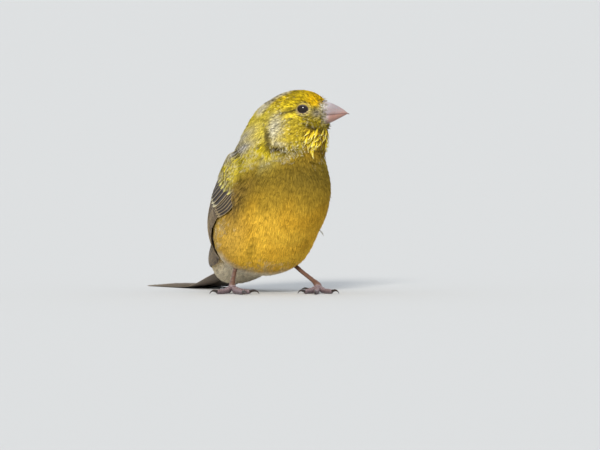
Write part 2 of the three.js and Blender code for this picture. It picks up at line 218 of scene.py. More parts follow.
def ramp(value, start, end):
    part = np.clip((np.asarray(value, float) - start) / (end - start), 0, 1)
    return part * part * (3 - 2 * part)


def settled(field, points, steps=3):
    for _ in range(steps):
        way = slope(field, points)
        points = points - way * (field(points) / np.maximum((way**2).sum(1), 0.2))[:, None]
    return points


# The skin: one closed surface from the face to the root of the tail, under the coat by the length that the
# feathers stand off it, which is least on the face. It stands for all the flesh down to the shanks.
FACE_DEPTH = 0.45
HEAD_DEPTH = 0.8
BODY_DEPTH = 1.9
SKIN_CELL = 0.75
SKIN_LOW = np.array([-24.0, -36.0, 0.0])
SKIN_HIGH = np.array([26.0, 42.0, 74.0])
FACE_AT = on_head(6.0, 0, -1.0)


def coat_depth(points):
    from_face = np.linalg.norm(points - FACE_AT, axis=1)
    from_head = np.linalg.norm(points - HEAD_AT, axis=1)
    depth = FACE_DEPTH + (HEAD_DEPTH - FACE_DEPTH) * ramp(from_face, 4.0, 9.0)
    return depth + (BODY_DEPTH - HEAD_DEPTH) * ramp(from_head, 10.0, 22.0)


def skin_height(points):
    return body_height(points) + coat_depth(points)


def surface_of(field, low, high, cell):
    """Points and four-cornered faces where a field is zero: a point in each grid cell that it crosses."""
    size = np.ceil((high - low) / cell).astype(int) + 1
    grid = np.stack(np.meshgrid(*(np.arange(n) for n in size), indexing="ij"), -1)
    places = low + grid.reshape(-1, 3) * cell
    values = np.concatenate([field(part) for part in np.array_split(places, 12)]).reshape(size)
    inside = values < 0
    sums = np.zeros((*(size - 1), 3))
    counts = np.zeros(size - 1)
    crossings = []
    for axis in range(3):
        b, c = (axis + 1) % 3, (axis + 2) % 3
        first = np.take(inside, range(size[axis] - 1), axis)
        second = np.take(inside, range(1, size[axis]), axis)
        found = np.argwhere(first != second)
        found = found[(found[:, b] > 0) & (found[:, c] > 0)]
        found = found[(found[:, b] < size[b] - 1) & (found[:, c] < size[c] - 1)]
        ahead = found.copy()
        ahead[:, axis] += 1
        start, end = values[tuple(found.T)], values[tuple(ahead.T)]
        place = found + (ahead - found) * (start / (start - end))[:, None]
        around = []
        for back_b, back_c in ((0, 0), (1, 0), (1, 1), (0, 1)):
            cell_at = found.copy()
            cell_at[:, b] -= back_b
            cell_at[:, c] -= back_c
            np.add.at(sums, tuple(cell_at.T), place)
            np.add.at(counts, tuple(cell_at.T), 1)
            around.append(cell_at)
        crossings.append((around, start < 0))
    number = np.full(size - 1, -1)
    active = np.argwhere(counts > 0)
    number[tuple(active.T)] = np.arange(len(active))
    points = low + sums[tuple(active.T)] / counts[tuple(active.T)][:, None] * cell
    faces = []
    for around, outwards in crossings:
        quads = np.stack([number[tuple(cell_at.T)] for cell_at in around], 1)
        quads[~outwards] = quads[~outwards][:, ::-1]
        faces.append(quads)
    return points, np.concatenate(faces)


skin_points, skin_faces = surface_of(skin_height, SKIN_LOW, SKIN_HIGH, SKIN_CELL)
skin_points = settled(skin_height, skin_points)


def curve_through(places, count):
    """Points at equal steps along a smooth curve through the given places."""
    places = np.array(places, float)
    places = np.vstack([2 * places[0] - places[1], places, 2 * places[-1] - places[-2]])
    fine = []
    for a, b, c, d in zip(places[:-3], places[1:-2], places[2:-1], places[3:]):
        p, q, r = (np.linalg.norm(second - first) ** 0.5 for first, second in ((a, b), (b, c), (c, d)))
        leave = ((b - a) / p - (c - a) / (p + q) + (c - b) / q) * q
        reach = ((c - b) / q - (d - b) / (q + r) + (d - c) / r) * q
        t = np.linspace(0, 1, 48, endpoint=False)[:, None]
        fine.append(
            b * (2 * t**3 - 3 * t**2 + 1) + c * (3 * t**2 - 2 * t**3)
            + leave * (t**3 - 2 * t**2 + t) + reach * (t**3 - t**2)
        )
    fine = np.vstack([*fine, places[-2:-1]])
    run = np.concatenate([[0], np.cumsum(np.linalg.norm(np.diff(fine, axis=0), axis=1))])
    return np.stack([np.interp(np.linspace(0, run[-1], count), run, column) for column in fine.T], 1)


# A line from the face through the neck and trunk to the tail. The feathers lie along it, and the place of a
# point along it and round it is also where the feather's colours are kept.
LINE_PLACES = [on_head(9, 0, 0), on_head(0, 0, 1), (1.5, -11, 53), (0.3, -6.5, 41)]
LINE_PLACES += [(0, 0, 27), (0, 8, 16.5), (0, 18, 10), (0, 36, 6)]
LINE = curve_through(LINE_PLACES, 160)
LINE_WAY = unit(np.gradient(LINE, axis=0))
head_share = 1 - ramp(np.linspace(0, 1, len(LINE)), 0.1, 0.45)[:, None]
LINE_RIGHT = HEAD_RIGHT * head_share + np.array([-1, 0, 0]) * (1 - head_share)
LINE_RIGHT = unit(LINE_RIGHT - LINE_WAY * (LINE_RIGHT * LINE_WAY).sum(1, keepdims=True))
LINE_BACK = np.cross(LINE_WAY, LINE_RIGHT)


def nearest_step(points, line):
    """For each point the number of the nearest place of a line."""
    step = np.empty(len(points), int)
    for part in np.array_split(np.arange(len(points)), len(points) // 4000 + 1):
        step[part] = ((points[part][:, None] - line) ** 2).sum(2).argmin(1)
    return step


def along_line(points):
    """The nearest step of the line, and the degrees round it: 0 at the back, more to the right."""
    step = nearest_step(points, LINE)
    away = points - LINE[step]
    right = (away * LINE_RIGHT[step]).sum(1)
    back = (away * LINE_BACK[step]).sum(1)
    return step, np.degrees(np.arctan2(right, back))


def waver(points, size, seed):
    """A smooth value from about -1 to 1 in waves of the given size."""
    draw = np.random.default_rng(seed)
    ways = unit(draw.normal(size=(7, 3))) * (2 * np.pi / size) * draw.uniform(0.7, 1.4, (7, 1))
    return np.sin(points @ ways.T + draw.uniform(0, 2 * np.pi, 7)).mean(1) * 2


# Markings of the coat, by the place on the head, round the neck and on the trunk, with painted shade behind
# and under the cheeks, on the upper breast under the head and in a fold of the belly. Both sides carry the
# same markings, in layers that cover each other softly.
def paint(red, green, blue):
    share = np.array([red, green, blue]) / 255
    return np.where(share <= 0.04045, share / 12.92, ((share + 0.055) / 1.055) ** 2.4)


GOLD = paint(208, 165, 14)
CROWN_YELLOW = paint(206, 176, 26)
BROW_YELLOW = paint(222, 194, 36)
NAPE_OLIVE = paint(196, 176, 52)
CHEEK_OLIVE = paint(166, 146, 44)
SILVER = paint(176, 170, 146)
WHITE_RIM = paint(214, 206, 180)
LORES_GREY = paint(138, 128, 104)
DARK_OLIVE = paint(66, 55, 28)
FLECK_DARK = paint(44, 37, 22)
THROAT_YELLOW = paint(150, 120, 36)
NECK_YELLOW = paint(220, 196, 36)
SHAWL_GREY = paint(180, 174, 164)
BREAST_OLIVE = paint(124, 102, 34)
BREAST_GOLD = paint(160, 129, 42)
BELLY_ORANGE = paint(228, 180, 60)
VENT_BUFF = paint(222, 206, 176)
FLANK_BUFF = paint(180, 144, 66)
MANTLE_OLIVE = paint(132, 120, 82)
RUMP_YELLOW = paint(168, 152, 66)
SCAPULAR_YELLOW = paint(224, 200, 30)
BREAST_PATCH = paint(188, 140, 34)
BREAST_LINE = paint(112, 94, 36)
SHOULDER_OLIVE = paint(184, 168, 84)
STREAK_BROWN = paint(112, 90, 60)
FORENECK_OLIVE = paint(138, 112, 38)
SHAWL_END = paint(150, 140, 96)
CHEEK_GOLD = paint(186, 160, 44)
UNDER_EYE = paint(236, 208, 60)
EYE_RING = paint(206, 188, 120)
CROWN_SILVER = paint(208, 198, 170)
NECK_LOW = np.array([1.0, -6.0, 40.0])


def neck_turn(points):
    """Degrees round the neck, to either side, from the way that it faces, which turns with the head."""
    share = (points[:, 2] - NECK_LOW[2]) / (HEAD_AT[2] - NECK_LOW[2])
    away = points - (NECK_LOW + (HEAD_AT - NECK_LOW) * share[:, None])
    facing = HEAD_DEGREES * ramp(points[:, 2], 40, 58)
    turn = np.degrees(np.arctan2(away[:, 0], -away[:, 1])) - facing
    return np.abs((turn + 180) % 360 - 180)


def spot(value, middle, reach):
    return np.exp(-(((value - middle) / reach) ** 2))


def tinted(colours, colour, amount):
    amount = np.clip(amount, 0, 1)[:, None]
    return colours * (1 - amount) + colour * amount


def layered(colours, layers):
    """Colours under layers, each given as its colour and how much of it covers those before."""
    for colour, amount in layers:
        colours = tinted(colours, colour, amount)
    return colours


def mixed(colours, colour, amount):
    return colours + (colour - colours) * amount[..., None]


def mottled(ahead, right, up):
    """The band from under the eye to the corner of the bill, where yellow feathers have dark ends."""
    return spot(up, -2.0 - 0.45 * (ahead - 4.2), 1.6) * ramp(ahead, 1.0, 3.5) * ramp(np.abs(right), 1.5, 3)


def shoulder_share(points):
    return ramp(np.abs(points[:, 0]), 11, 14) * ramp(points[:, 1], -10, -6)


def back_share(turn, z):
    return (1 - ramp(np.abs(turn), 60, 100)) * ramp(z, 12, 20) * (1 - ramp(z, 46, 54))


def plumage(points):
    """The colour of the coat at each point, from the trunk up to the neck and the head."""
    x, y, z = points.T
    ahead, right, up = head_places(points).T
    right = np.abs(right)
    around = neck_turn(points)
    _, turn = along_line(points)
    rough = waver(points, 5.0, 1)
    broad = waver(points, 14.0, 2)
    fore = ramp(np.abs(turn), 75, 110)

    middle_line = spot(180 - np.abs(turn), 4, 26) * spot(z, 40, 6)
    streaks = spot(np.abs(turn), 108, 12) * spot(z, 31, 6.5)
    # Painted shade in the fold where the belly lies over the right leg.
    fold_shade = spot(x, -11.2, 1.2) * spot(z, 15, 5) * ramp(-y, 5, 8)
    trunk = [
        (RUMP_YELLOW, ramp(y, 10, 16) * ramp(z, 4, 12)),
        (BREAST_GOLD, fore),
        (BELLY_ORANGE, fore * ramp(33 - z, 0, 11)),
        # the olive upper breast, darkened also by painted shadow of the head
        (BREAST_OLIVE, fore * ramp(z + 2 * broad, 31, 42) * 0.95),
        (BREAST_PATCH, fore * np.clip(broad + 0.1, 0, 1) * 0.5 * ramp(37 - z, 0, 8)),
        (BREAST_LINE, 0.5 * middle_line),
        (FLANK_BUFF, fore * ramp(np.abs(x), 11, 17) * ramp(30 - z, 0, 8) * 0.65),
        (SHOULDER_OLIVE, shoulder_share(points) * ramp(z, 30, 35)),
        (STREAK_BROWN, 0.75 * streaks),
        # painted shade in the fold over the right leg
        (BREAST_OLIVE, 0.5 * fold_shade),
        (VENT_BUFF, fore * ramp(y + 0.9 * (12 - z) + rough, -1, 6) * ramp(16 - z, 0, 4)),
        (VENT_BUFF, ramp(8.6 - z + 0.5 * rough, 0, 3.5) * 0.75),
    ]
    low = z + 1.0 * rough + 1.2 * broad
    on_neck = ramp(low, 40, 48)
    shawl_end = spot(around, 62, 16) * spot(low, 45.5, 2.6)
    neck = [
        (NAPE_OLIVE, on_neck * ramp(around, 100, 150)),
        (CHEEK_OLIVE, on_neck * (1 - ramp(around, 60, 110)) * ramp(z, 46, 52)),
        (FORENECK_OLIVE, on_neck * (1 - ramp(around + 4 * rough, 35, 80)) * (1 - ramp(z, 49, 53))),
        (NECK_YELLOW, 1.2 * spot(around, 88, 36) * spot(low, 50.0 + 0.05 * (around - 90), 4.4)),
        (NECK_YELLOW, 0.85 * spot(around, 96, 20) * spot(low, 43.0, 4.2)),
        (NECK_YELLOW, spot(around, 138, 26) * spot(z, 57, 4.5)),
        (SHAWL_GREY, 1.2 * spot(around, 132, 17) * spot(z, 49.3, 3.4)),
        (SHAWL_GREY, 0.8 * spot(around, 158, 18) * spot(z, 53.5, 4.2)),
        (SCAPULAR_YELLOW, 1.2 * spot(around, 114, 13) * spot(z, 44.0, 3.0)),
        (SHAWL_END, 0.8 * shawl_end),
    ]
    on_skull = ramp(up, -15, -11) * ramp(ahead, -16, -12)
    cheek_back = -8.4 + 0.25 * np.abs(up + 3.5)
    gold_cheek = spot(ahead, 0.5, 4.2) * spot(up, -6.0, 3.0) * ramp(right, 4, 6)
    under_eye = spot(up, 0.2 + 0.12 * ahead, 0.9) * spot(ahead, -0.4, 3.2)
    brow = 4.4 + 0.1 * ahead - 0.012 * (ahead - 3) ** 2
    under_brow = spot(up, 2.6, 0.9) * spot(ahead, -3.0, 4.0)
    line_up = 2.0 + 0.24 * (ahead - 0.8)
    eye_line = spot(up, line_up, 0.42) * ramp(ahead, -8.0, -5.0) * (1 - ramp(ahead, 0.6, 1.4))
    gape_shade = spot(up, -3.4 - 0.4 * (ahead - 4.2), 0.8) * ramp(ahead, 2.0, 4.0) * ramp(right, 1.5, 3)
    lores = spot(ahead, 7.6, 2.0) * spot(up, 0.9, 1.7)
    from_eye = np.hypot(ahead - EYE_AT[0], up - EYE_AT[2])
    crown_side = 1 - ramp(right, 2.0, 4.4)
    rear_crown = ramp(-ahead, 1, 4) * (1 - ramp(-ahead, 13, 16)) * crown_side * ramp(up, -2, 1)
    head = [
        (CHEEK_OLIVE, on_skull * ramp(ahead - 0.3 * up, -9, -5)),
        (NAPE_OLIVE, on_skull * ramp(up, -1, 2) * (1 - ramp(ahead, -9, -4))),
        (CROWN_YELLOW, on_skull * ramp(up, 2.5, 4.5)),
        (SILVER, on_skull * 0.85 * spot(ahead, -6.4, 2.8) * spot(up, -3.8, 4.6)),
        (WHITE_RIM, 0.6 * spot(ahead, cheek_back + 0.3, 1.0) * spot(up, -5.0, 3.4)),
        (WHITE_RIM, 0.6 * spot(ahead, -5.0, 2.6) * spot(up, -9.7, 0.7)),
        # painted shadow: in the crease behind the cheek, and under its lower edge and the chin
        (DARK_OLIVE, 0.9 * spot(ahead, cheek_back - 1.7, 1.1) * spot(up, -7.6, 3.6)),
        (DARK_OLIVE, 1.1 * spot(ahead, -5.5, 3.6) * spot(up, -11.6, 1.3)),
        (DARK_OLIVE, 0.6 * spot(ahead, 2.0, 5.0) * spot(up, -12.6, 1.4)),
        (CHEEK_GOLD, 0.8 * gold_cheek),
        (UNDER_EYE, 0.95 * under_eye),
        (BROW_YELLOW, on_skull * spot(up, brow, 1.3) * ramp(ahead, -11, -5) * 0.95),
        (CHEEK_OLIVE, 0.6 * under_brow),
        (DARK_OLIVE, 0.85 * eye_line * ramp(right, 3, 5)),
        (GOLD, ramp(ahead + 1.2 * rough, 0.6, 6.4) * ramp(up, 2.4, 4.4)),
        (THROAT_YELLOW, ramp(-up, 3.4, 5.0) * ramp(ahead, 2.5, 5.0) * ramp(up, -17, -13)),
        (BROW_YELLOW, 0.8 * mottled(ahead, right, up)),
        (DARK_OLIVE, 0.85 * gape_shade),
        (LORES_GREY, 1.1 * lores),
        (WHITE_RIM, 1.1 * spot(ahead, 9.4, 0.9) * spot(up, 3.0, 1.0)),
        (EYE_RING, spot(from_eye, 2.05, 0.5) * ramp(right, 4, 5.5)),
        (CROWN_SILVER, 0.85 * rear_crown),
    ]
    return layered(np.tile(MANTLE_OLIVE, (len(points), 1)), trunk + neck + head)


def streak_share(points):
    """How dark the middle of each feather is."""
    _, _, z = points.T
    ahead, right, up = head_places(points).T
    around = neck_turn(points)
    _, turn = along_line(points)
    band = 0.8 * mottled(ahead, right, up)
    crown = ramp(up, 3, 5) * (1 - 0.7 * ramp(ahead, 3, 7)) * 0.7
    nape = ramp(around, 110, 150) * ramp(z, 44, 50) * 0.6
    back = back_share(turn, z) * 0.9
    side = spot(np.abs(turn), 108, 14) * spot(z, 31, 7) * 0.85
    breast = spot(z, 42, 5) * ramp(np.abs(turn), 90, 120) * 0.3
    shoulder = shoulder_share(points) * spot(z, 36, 6) * 0.9
    return np.clip(crown + nape + back + side + breast + shoulder + band, 0, 0.95)


def fleck_share(points):
    """How many of the feathers are dark ones, with painted shade behind the cheek."""
    ahead, right, up = head_places(points).T
    head = 0.14 * ramp(up, -15, -12) * ramp(ahead, -14, -11)
    crown = 0.16 * ramp(up, 3, 5)
    # dark feathers behind the cheek are painted shade
    cheek_shadow = 0.35 * spot(ahead, -9.5, 2.0) * spot(up, -8, 4)
    return head + crown + cheek_shadow + 0.95 * mottled(ahead, right, up)


def tip_share(points):
    """How pale the ends of the feathers are."""
    _, _, z = points.T
    ahead, right, up = head_places(points).T
    around = neck_turn(points)
    _, turn = along_line(points)
    band = 0.3 * mottled(ahead, right, up)
    shawl = spot(z, 45.8 - 0.02 * (around - 70), 3.0) * ramp(around, 10, 40) * (1 - ramp(around, 125, 150))
    below = spot(up, -11.8, 1.5) * spot(ahead, -1.0, 6.5) * 0.6
    cheek = spot(ahead, -5.0, 3.5) * spot(up, -3.5, 5.0) * 0.4
    back = back_share(turn, z) * 0.35
    shoulder = shoulder_share(points) * spot(z, 37, 7) * 0.5
    low_edge = 0.6 * ramp(11 - z, 0, 4) + 0.5 * spot(np.abs(turn), 98, 9) * ramp(28 - z, 0, 6)
    return np.clip(0.6 * shawl + below + cheek + back + shoulder + low_edge + band, 0, 1)


def add_colours(mesh, name, colours):
    rows = np.ones((len(colours), 4), np.float32)
    rows[:, :3] = np.clip(colours, 0, 1)
    mesh.color_attributes.new(name, "FLOAT_COLOR", "POINT").data.foreach_set("color", rows.ravel())


def add_node(tree, kind, inputs=None, **settings):
    """A node whose inputs are given as sockets to link, or as values."""
    node = tree.nodes.new(kind)
    for name, value in settings.items():
        setattr(node, name, value)
    for name, value in (inputs or {}).items():
        if isinstance(value, bpy.types.NodeSocket):
            tree.links.new(value, node.inputs[name])
        else:
            node.inputs[name].default_value = value
    return node


def coloured_material(name, attribute, roughness, grain, grain_depth, uneven=0.18):
    """A finish whose colour the mesh carries, made uneven by a fine grain that also roughens it."""
    material, shader = plain_material(name, (0.5, 0.5, 0.5), roughness)
    tree = material.node_tree
    colour = add_node(tree, "ShaderNodeAttribute", attribute_name=attribute).outputs["Color"]
    place = add_node(tree, "ShaderNodeTexCoord").outputs["Object"]
    detail = {"Vector": place, "Scale": 1 / (grain * MM), "Detail": 3.0}
    noise = add_node(tree, "ShaderNodeTexNoise", detail).outputs["Fac"]
    span = {"Value": noise, "From Min": 0.3, "From Max": 0.7, "To Min": 1 - uneven, "To Max": 1 + uneven}
    shade = add_node(tree, "ShaderNodeMapRange", span).outputs["Result"]
    scaled = add_node(tree, "ShaderNodeVectorMath", {0: colour, "Scale": shade}, operation="SCALE")
    tree.links.new(scaled.outputs["Vector"], shader.inputs["Base Color"])
    relief = {"Height": noise, "Strength": 0.6, "Distance": grain_depth * MM}
    tree.links.new(add_node(tree, "ShaderNodeBump", relief).outputs["Normal"], shader.inputs["Normal"])
    return material, shader


# The skin lies in the shade of the coat, so it has the coat's markings in darker shades.
SKIN_SHADE = 0.42
skin = add_mesh("skin", skin_points, skin_faces)
add_colours(skin.data, "coat_colour", plumage(skin_points) * SKIN_SHADE)
down_finish, _ = coloured_material("down", "coat_colour", 0.9, 0.25, 0.08)
skin.data.materials.append(down_finish)
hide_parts("head", "neck", "trunk", "thigh_left", "thigh_right")
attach(skin, "root")


# The folded wings lie on the body and on the root of the tail. A place on a wing is how far it is from the
# bend of the wing to its tip, and how far across, from -1 at the front edge by the breast to 1 at the
# middle of the back.
TAIL_ROOT = 17
TAIL_END = 71
TAIL_FORK = 4
TAIL_WIDTH = (11, 21)
TAIL_THICK = (2.4, 1.0)
TAIL_HEIGHT = 8.5
TAIL_FLAT = 50
SPINE_PLACES = [(0.8, -12, 57), (0.3, -6.5, 41), (0, 0, 27), (0, 8, 16.5)]
SPINE_PLACES += [(0, 18, 10), (0, 30, 6), (0, 45, 1.5)]
SPINE = curve_through(SPINE_PLACES, 600)
SPINE_WAY = unit(np.gradient(SPINE, axis=0))
SPINE_STRIDE = 5
# The wing's rows from its bend to its tip: share of the spine, and degrees of the front and back edges.
WING_ROWS = np.array(
    [
        (0.15, 90, 62), (0.19, 105, 42), (0.25, 117, 27), (0.32, 109, 17), (0.38, 98, 11),
        (0.45, 94, 8), (0.52, 96, 7), (0.6, 101, 7), (0.67, 100, 8), (0.74, 92, 10),
        (0.82, 78, 14), (0.89, 64, 26), (0.94, 54, 38),
    ]
)
LEFT_WING_FRONT = 86
WING_LIFT = 0.5
WING_THICK = 2.0
THIN_EDGE = 0.6


def tail_part(y):
    return np.clip((y - TAIL_ROOT) / (TAIL_END - TAIL_ROOT), 0, 1)


def tail_half_width(y):
    root, end = TAIL_WIDTH
    return (root + (end - root) * tail_part(y) ** 0.8) / 2


def tail_thickness(y):
    root, end = TAIL_THICK
    return root + (end - root) * tail_part(y)


def tail_underside(y):
    return TAIL_HEIGHT * (1 - ramp(y, TAIL_ROOT - 4, TAIL_FLAT))


def bed_height(points):
    """Height over what the wings lie on: the body, and the slab of the tail."""
    x, y, z = points.T
    low = tail_underside(y)
    across = np.abs(x) - tail_half_width(y)
    tail = np.max([z - low - tail_thickness(y), low - z, across, TAIL_ROOT - y, y - TAIL_END], axis=0)
    return np.minimum(body_height(points), tail)


def table_at(table, share):
    at = np.asarray(share, float) * (len(table) - 1)
    return np.stack([np.interp(at, np.arange(len(table)), column) for column in table.T], -1)


def spine_back(way):
    """The way out of the middle of the back, square to the spine."""
    return unit(np.stack([np.zeros(len(way)), -way[:, 2], way[:, 1]], 1))


def fullness(share, least=0.0):
    """How high the wing stands, as a share of its full height, from its bend to its tip."""
    return (least + (1 - least) * ramp(share, 0, 0.35)) * (1 - 0.6 * ramp(share, 0.45, 1))


def on_bed(along, side, turn, level):
    """Points over the bed, by share of the spine, degrees from the back round to one side, and level."""
    start = table_at(SPINE, along)
    way = table_at(SPINE_WAY, along)
    radians = np.radians(turn)[:, None]
    away = spine_back(way) * np.cos(radians) + side * np.sin(radians) * np.array([1.0, 0, 0])
    near, far = np.zeros(len(way)), np.full(len(way), 40.0)
    for _ in range(22):
        middle = (near + far) / 2
        inside = bed_height(start + away * middle[:, None]) < level
        near, far = np.where(inside, middle, near), np.where(inside, far, middle)
    return start + away * near[:, None], near


def wing_edges(share, side):
    along, front, back = table_at(WING_ROWS, share).T
    if side > 0:
        front = np.minimum(front, LEFT_WING_FRONT)
    return along, front, back


def wing_height(points):
    """Height of the folded wings over the bed, and the shares across, beyond 1 beside them, and along."""
    step = nearest_step(points, SPINE[::SPINE_STRIDE]) * SPINE_STRIDE
    away = points - SPINE[step]
    turn = np.degrees(np.arctan2(np.abs(away[:, 0]), (away * spine_back(SPINE_WAY[step])).sum(1)))
    along = step / (len(SPINE) - 1)
    share = np.interp(along, WING_ROWS[:, 0], np.linspace(0, 1, len(WING_ROWS)), left=-0.2, right=1.2)
    _, front, behind = wing_edges(np.clip(share, 0, 1), -1)
    front = np.where(points[:, 0] > 0, np.minimum(front, LEFT_WING_FRONT), front)
    across = 2 * (turn - front) / (behind - front) - 1
    dome = np.sqrt(np.clip(1 - across**2, 0, 1)) * fullness(share)
    height = WING_LIFT + THIN_EDGE + (WING_THICK - THIN_EDGE) * dome
    covered = (share > 0) & (share < 1) & (np.abs(across) < 1)
    return np.where(covered, height, 0), across, share


# One feather's vane: a thin closed plate with a raised shaft and a rounded end. Its map holds millimetres
# across and along, for the barbs, with room between the maps of two vanes.
ACROSS = np.array([-1, -0.96, -0.88, -0.76, -0.45, -0.08, 0, 0.08, 0.45, 0.76, 0.88, 0.96, 1])
SHAFT = len(ACROSS) // 2
VANE_STEPS = 18
MAP_ROOM = 40
BARB_PITCH = 0.32
BARB_SLANT = 1.3


def vane_shape(roundness, taper):
    """Shares along and across of a vane's grid, which is narrow at its root and rounded at its end."""
    along = np.linspace(0, 1, VANE_STEPS)[:, None] * (1 - roundness * np.abs(ACROSS) ** 2.2)
    broad = (0.35 + 0.65 * ramp(along, 0, 0.3)) * (1 - taper * ramp(along, 0.55, 1.0))
    return along, broad * ACROSS


def closed_plates(tops, undersides):
    """Points and faces of plates between grids of the same shape: count, rows, columns, 3."""
    count, rows, columns, _ = tops.shape
    size = rows * columns
    points = np.concatenate([tops.reshape(count, -1, 3), undersides.reshape(count, -1, 3)], 1)
    number = np.arange(size).reshape(rows, columns)
    corners = number[:-1, :-1], number[:-1, 1:], number[1:, 1:], number[1:, :-1]
    over = np.stack([part.ravel() for part in corners], 1)
    under = over[:, ::-1] + size
    edge = np.concatenate([number[0], number[1:, -1], number[-1, -2::-1], number[-2:0:-1, 0]])
    following = np.roll(edge, -1)
    rim = np.stack([following, edge, edge + size, following + size], 1)
    faces = np.concatenate([over, under, rim])
    faces = faces[None] + (np.arange(count) * 2 * size)[:, None, None]
    return points.reshape(-1, 3), faces.reshape(-1, 4)


def add_vanes(name, tops, normals, thickness, colours, lengths, halves):
    """An object of several vanes, from the grids of their tops."""
    count, rows = tops.shape[:2]
    thin = thickness * (1 - 0.55 * np.abs(ACROSS) ** 2)[:, None]
    points, faces = closed_plates(tops, tops - normals * thin)
    piece = add_mesh(name, points, faces)
    flat = colours.reshape(count, -1, 3)
    both = np.concatenate([flat, flat + (UNDERSIDE - flat) * 0.7], 1)
    add_colours(piece.data, "vane_colour", both.reshape(-1, 3))
    along = np.linspace(0, 1, rows)[:, None] * lengths[:, None, None]
    along = along + MAP_ROOM * np.arange(count)[:, None, None]
    own = np.stack(np.broadcast_arrays(ACROSS * halves[:, None, None], along), -1)
    own = np.concatenate([own.reshape(count, -1, 2)] * 2, 1).reshape(-1, 2)
    vane_map = piece.data.uv_layers.new(name="vane")
    corners = np.empty(len(piece.data.loops), np.int32)
    piece.data.loops.foreach_get("vertex_index", corners)
    vane_map.data.foreach_set("uv", own[corners].astype(np.float32).ravel())
    piece.data.materials.append(vane_finish)
    return piece


def vane_material(name, roughness):
    """Colour from the mesh, and barbs as fine ribs that slant away from the shaft towards the tip."""
    material, shader = coloured_material(name, "vane_colour", roughness, 0.5, 0.02, uneven=0.12)
    tree = material.node_tree
    own = add_node(tree, "ShaderNodeUVMap", uv_map="vane").outputs["UV"]
    parts = add_node(tree, "ShaderNodeSeparateXYZ", {"Vector": own}).outputs
    value = parts["X"]
    for operation, rest in (
        ("ABSOLUTE", {}),
        ("MULTIPLY_ADD", {1: -BARB_SLANT, 2: parts["Y"]}),
        ("MULTIPLY", {1: 2 * math.pi / BARB_PITCH}),
        ("SINE", {}),
    ):
        value = add_node(tree, "ShaderNodeMath", {0: value, **rest}, operation=operation).outputs["Value"]
    ribs = add_node(tree, "ShaderNodeBump", {"Height": value, "Strength": 0.5, "Distance": 0.04 * MM})
    tree.links.new(ribs.outputs["Normal"], shader.inputs["Normal"])
    return material


vane_finish = vane_material("vane", 0.55)
UNDERSIDE = paint(150, 136, 122)
VANE_BROWN = paint(76, 62, 50)
VANE_DARK = paint(44, 36, 30)
FRINGE_BUFF = paint(168, 146, 106)
FRINGE_PALE = paint(196, 184, 146)
FRINGE_GREEN = paint(206, 196, 104)
SHAFT_BROWN = paint(38, 28, 22)
MEDIAN_OLIVE = paint(80, 70, 48)
LESSER_OLIVE = paint(112, 104, 56)


def vane_colours(count, ground, fringe, tip, fringe_from, tip_reach, draw):
    """Colours over the grids of several vanes: ground, paler edges, a pale tip and a dark shaft."""
    size = (count, VANE_STEPS, len(ACROSS))
    along = np.linspace(0, 1, VANE_STEPS)[None, :, None]
    edge = ramp(np.abs(ACROSS), fringe_from, 0.96)[None, None, :]
    edge = np.clip(edge * (0.75 + 0.25 * ramp(along, 0.1, 0.5)), 0, 1)
    end = ramp(along, 1 - 1.6 * tip_reach, 1 - 0.4 * tip_reach)
    shade = draw.uniform(0.88, 1.14, (count, 1, 1, 1)) * draw.uniform(0.94, 1.06, (*size, 1))
    colours = mixed(mixed(np.broadcast_to(ground, (*size, 3)), fringe, edge), tip, end) * shade
    colours[:, :, SHAFT] = SHAFT_BROWN
    return colours


# Each row of wing feathers: how many, where the roots and the tips of its first and last feather are (share
# of the length, and across), half widths, how far the tips are rounded and narrowed, and level over the bed
# of the first and the last. Then ground, fringe and tip, where the fringe begins, and how long the tip is.
# The first is the one nearest the front edge, which the next one overlaps.
WING_FEATHERS = {
    "primaries": (
        (9, (0.12, -0.74), (0.16, -0.4), (0.97, -0.75), (0.80, -0.36), (1.5, 2.6), 0.1, 0.45, (0.75, 1.0)),
        (VANE_BROWN, FRINGE_BUFF, FRINGE_BUFF, 0.92, 0.02),
    ),
    "secondaries": (
        (6, (0.15, -0.36), (0.17, 0.1), (0.77, -0.3), (0.73, 0.12), (3.0, 3.4), 0.08, 0.1, (1.05, 1.3)),
        (VANE_BROWN, FRINGE_BUFF, FRINGE_PALE, 0.9, 0.03),
    ),
    "tertials": (
        (3, (0.18, 0.2), (0.2, 0.62), (0.7, 0.3), (0.56, 0.62), (4.0, 4.2), 0.12, 0.2, (1.5, 1.75)),
        (VANE_BROWN, FRINGE_PALE, FRINGE_PALE, 0.76, 0.05),
    ),
    "primary_coverts": (
        (6, (0.09, -0.82), (0.1, -0.5), (0.34, -0.86), (0.30, -0.5), (1.3, 1.5), 0.2, 0.4, (1.3, 1.5)),
        (VANE_DARK, FRINGE_BUFF, FRINGE_BUFF, 0.7, 0.08),
    ),
    "greater_coverts": (
        (9, (0.1, -0.48), (0.12, 0.66), (0.31, -0.5), (0.34, 0.7), (1.9, 2.2), 0.15, 0.15, (1.7, 1.95)),
        (VANE_DARK, FRINGE_BUFF, FRINGE_PALE, 0.74, 0.1),
    ),
    "alula": (
        (2, (0.05, -0.8), (0.06, -0.7), (0.22, -0.9), (0.17, -0.74), (1.2, 1.3), 0.25, 0.3, (1.75, 1.85)),
        (VANE_DARK, FRINGE_PALE, FRINGE_PALE, 0.7, 0.1),
    ),
    "median_coverts": (
        (9, (0.05, -0.55), (0.06, 0.75), (0.19, -0.62), (0.21, 0.8), (1.6, 1.8), 0.25, 0.2, (2.0, 2.1)),
        (MEDIAN_OLIVE, FRINGE_GREEN, FRINGE_GREEN, 0.5, 0.3),
    ),
    "lesser_coverts": (
        (10, (0.0, -0.7), (0.02, 0.8), (0.11, -0.75), (0.13, 0.85), (1.4, 1.5), 0.3, 0.2, (2.15, 2.2)),
        (LESSER_OLIVE, FRINGE_GREEN, FRINGE_GREEN, 0.4, 0.4),
    ),
}
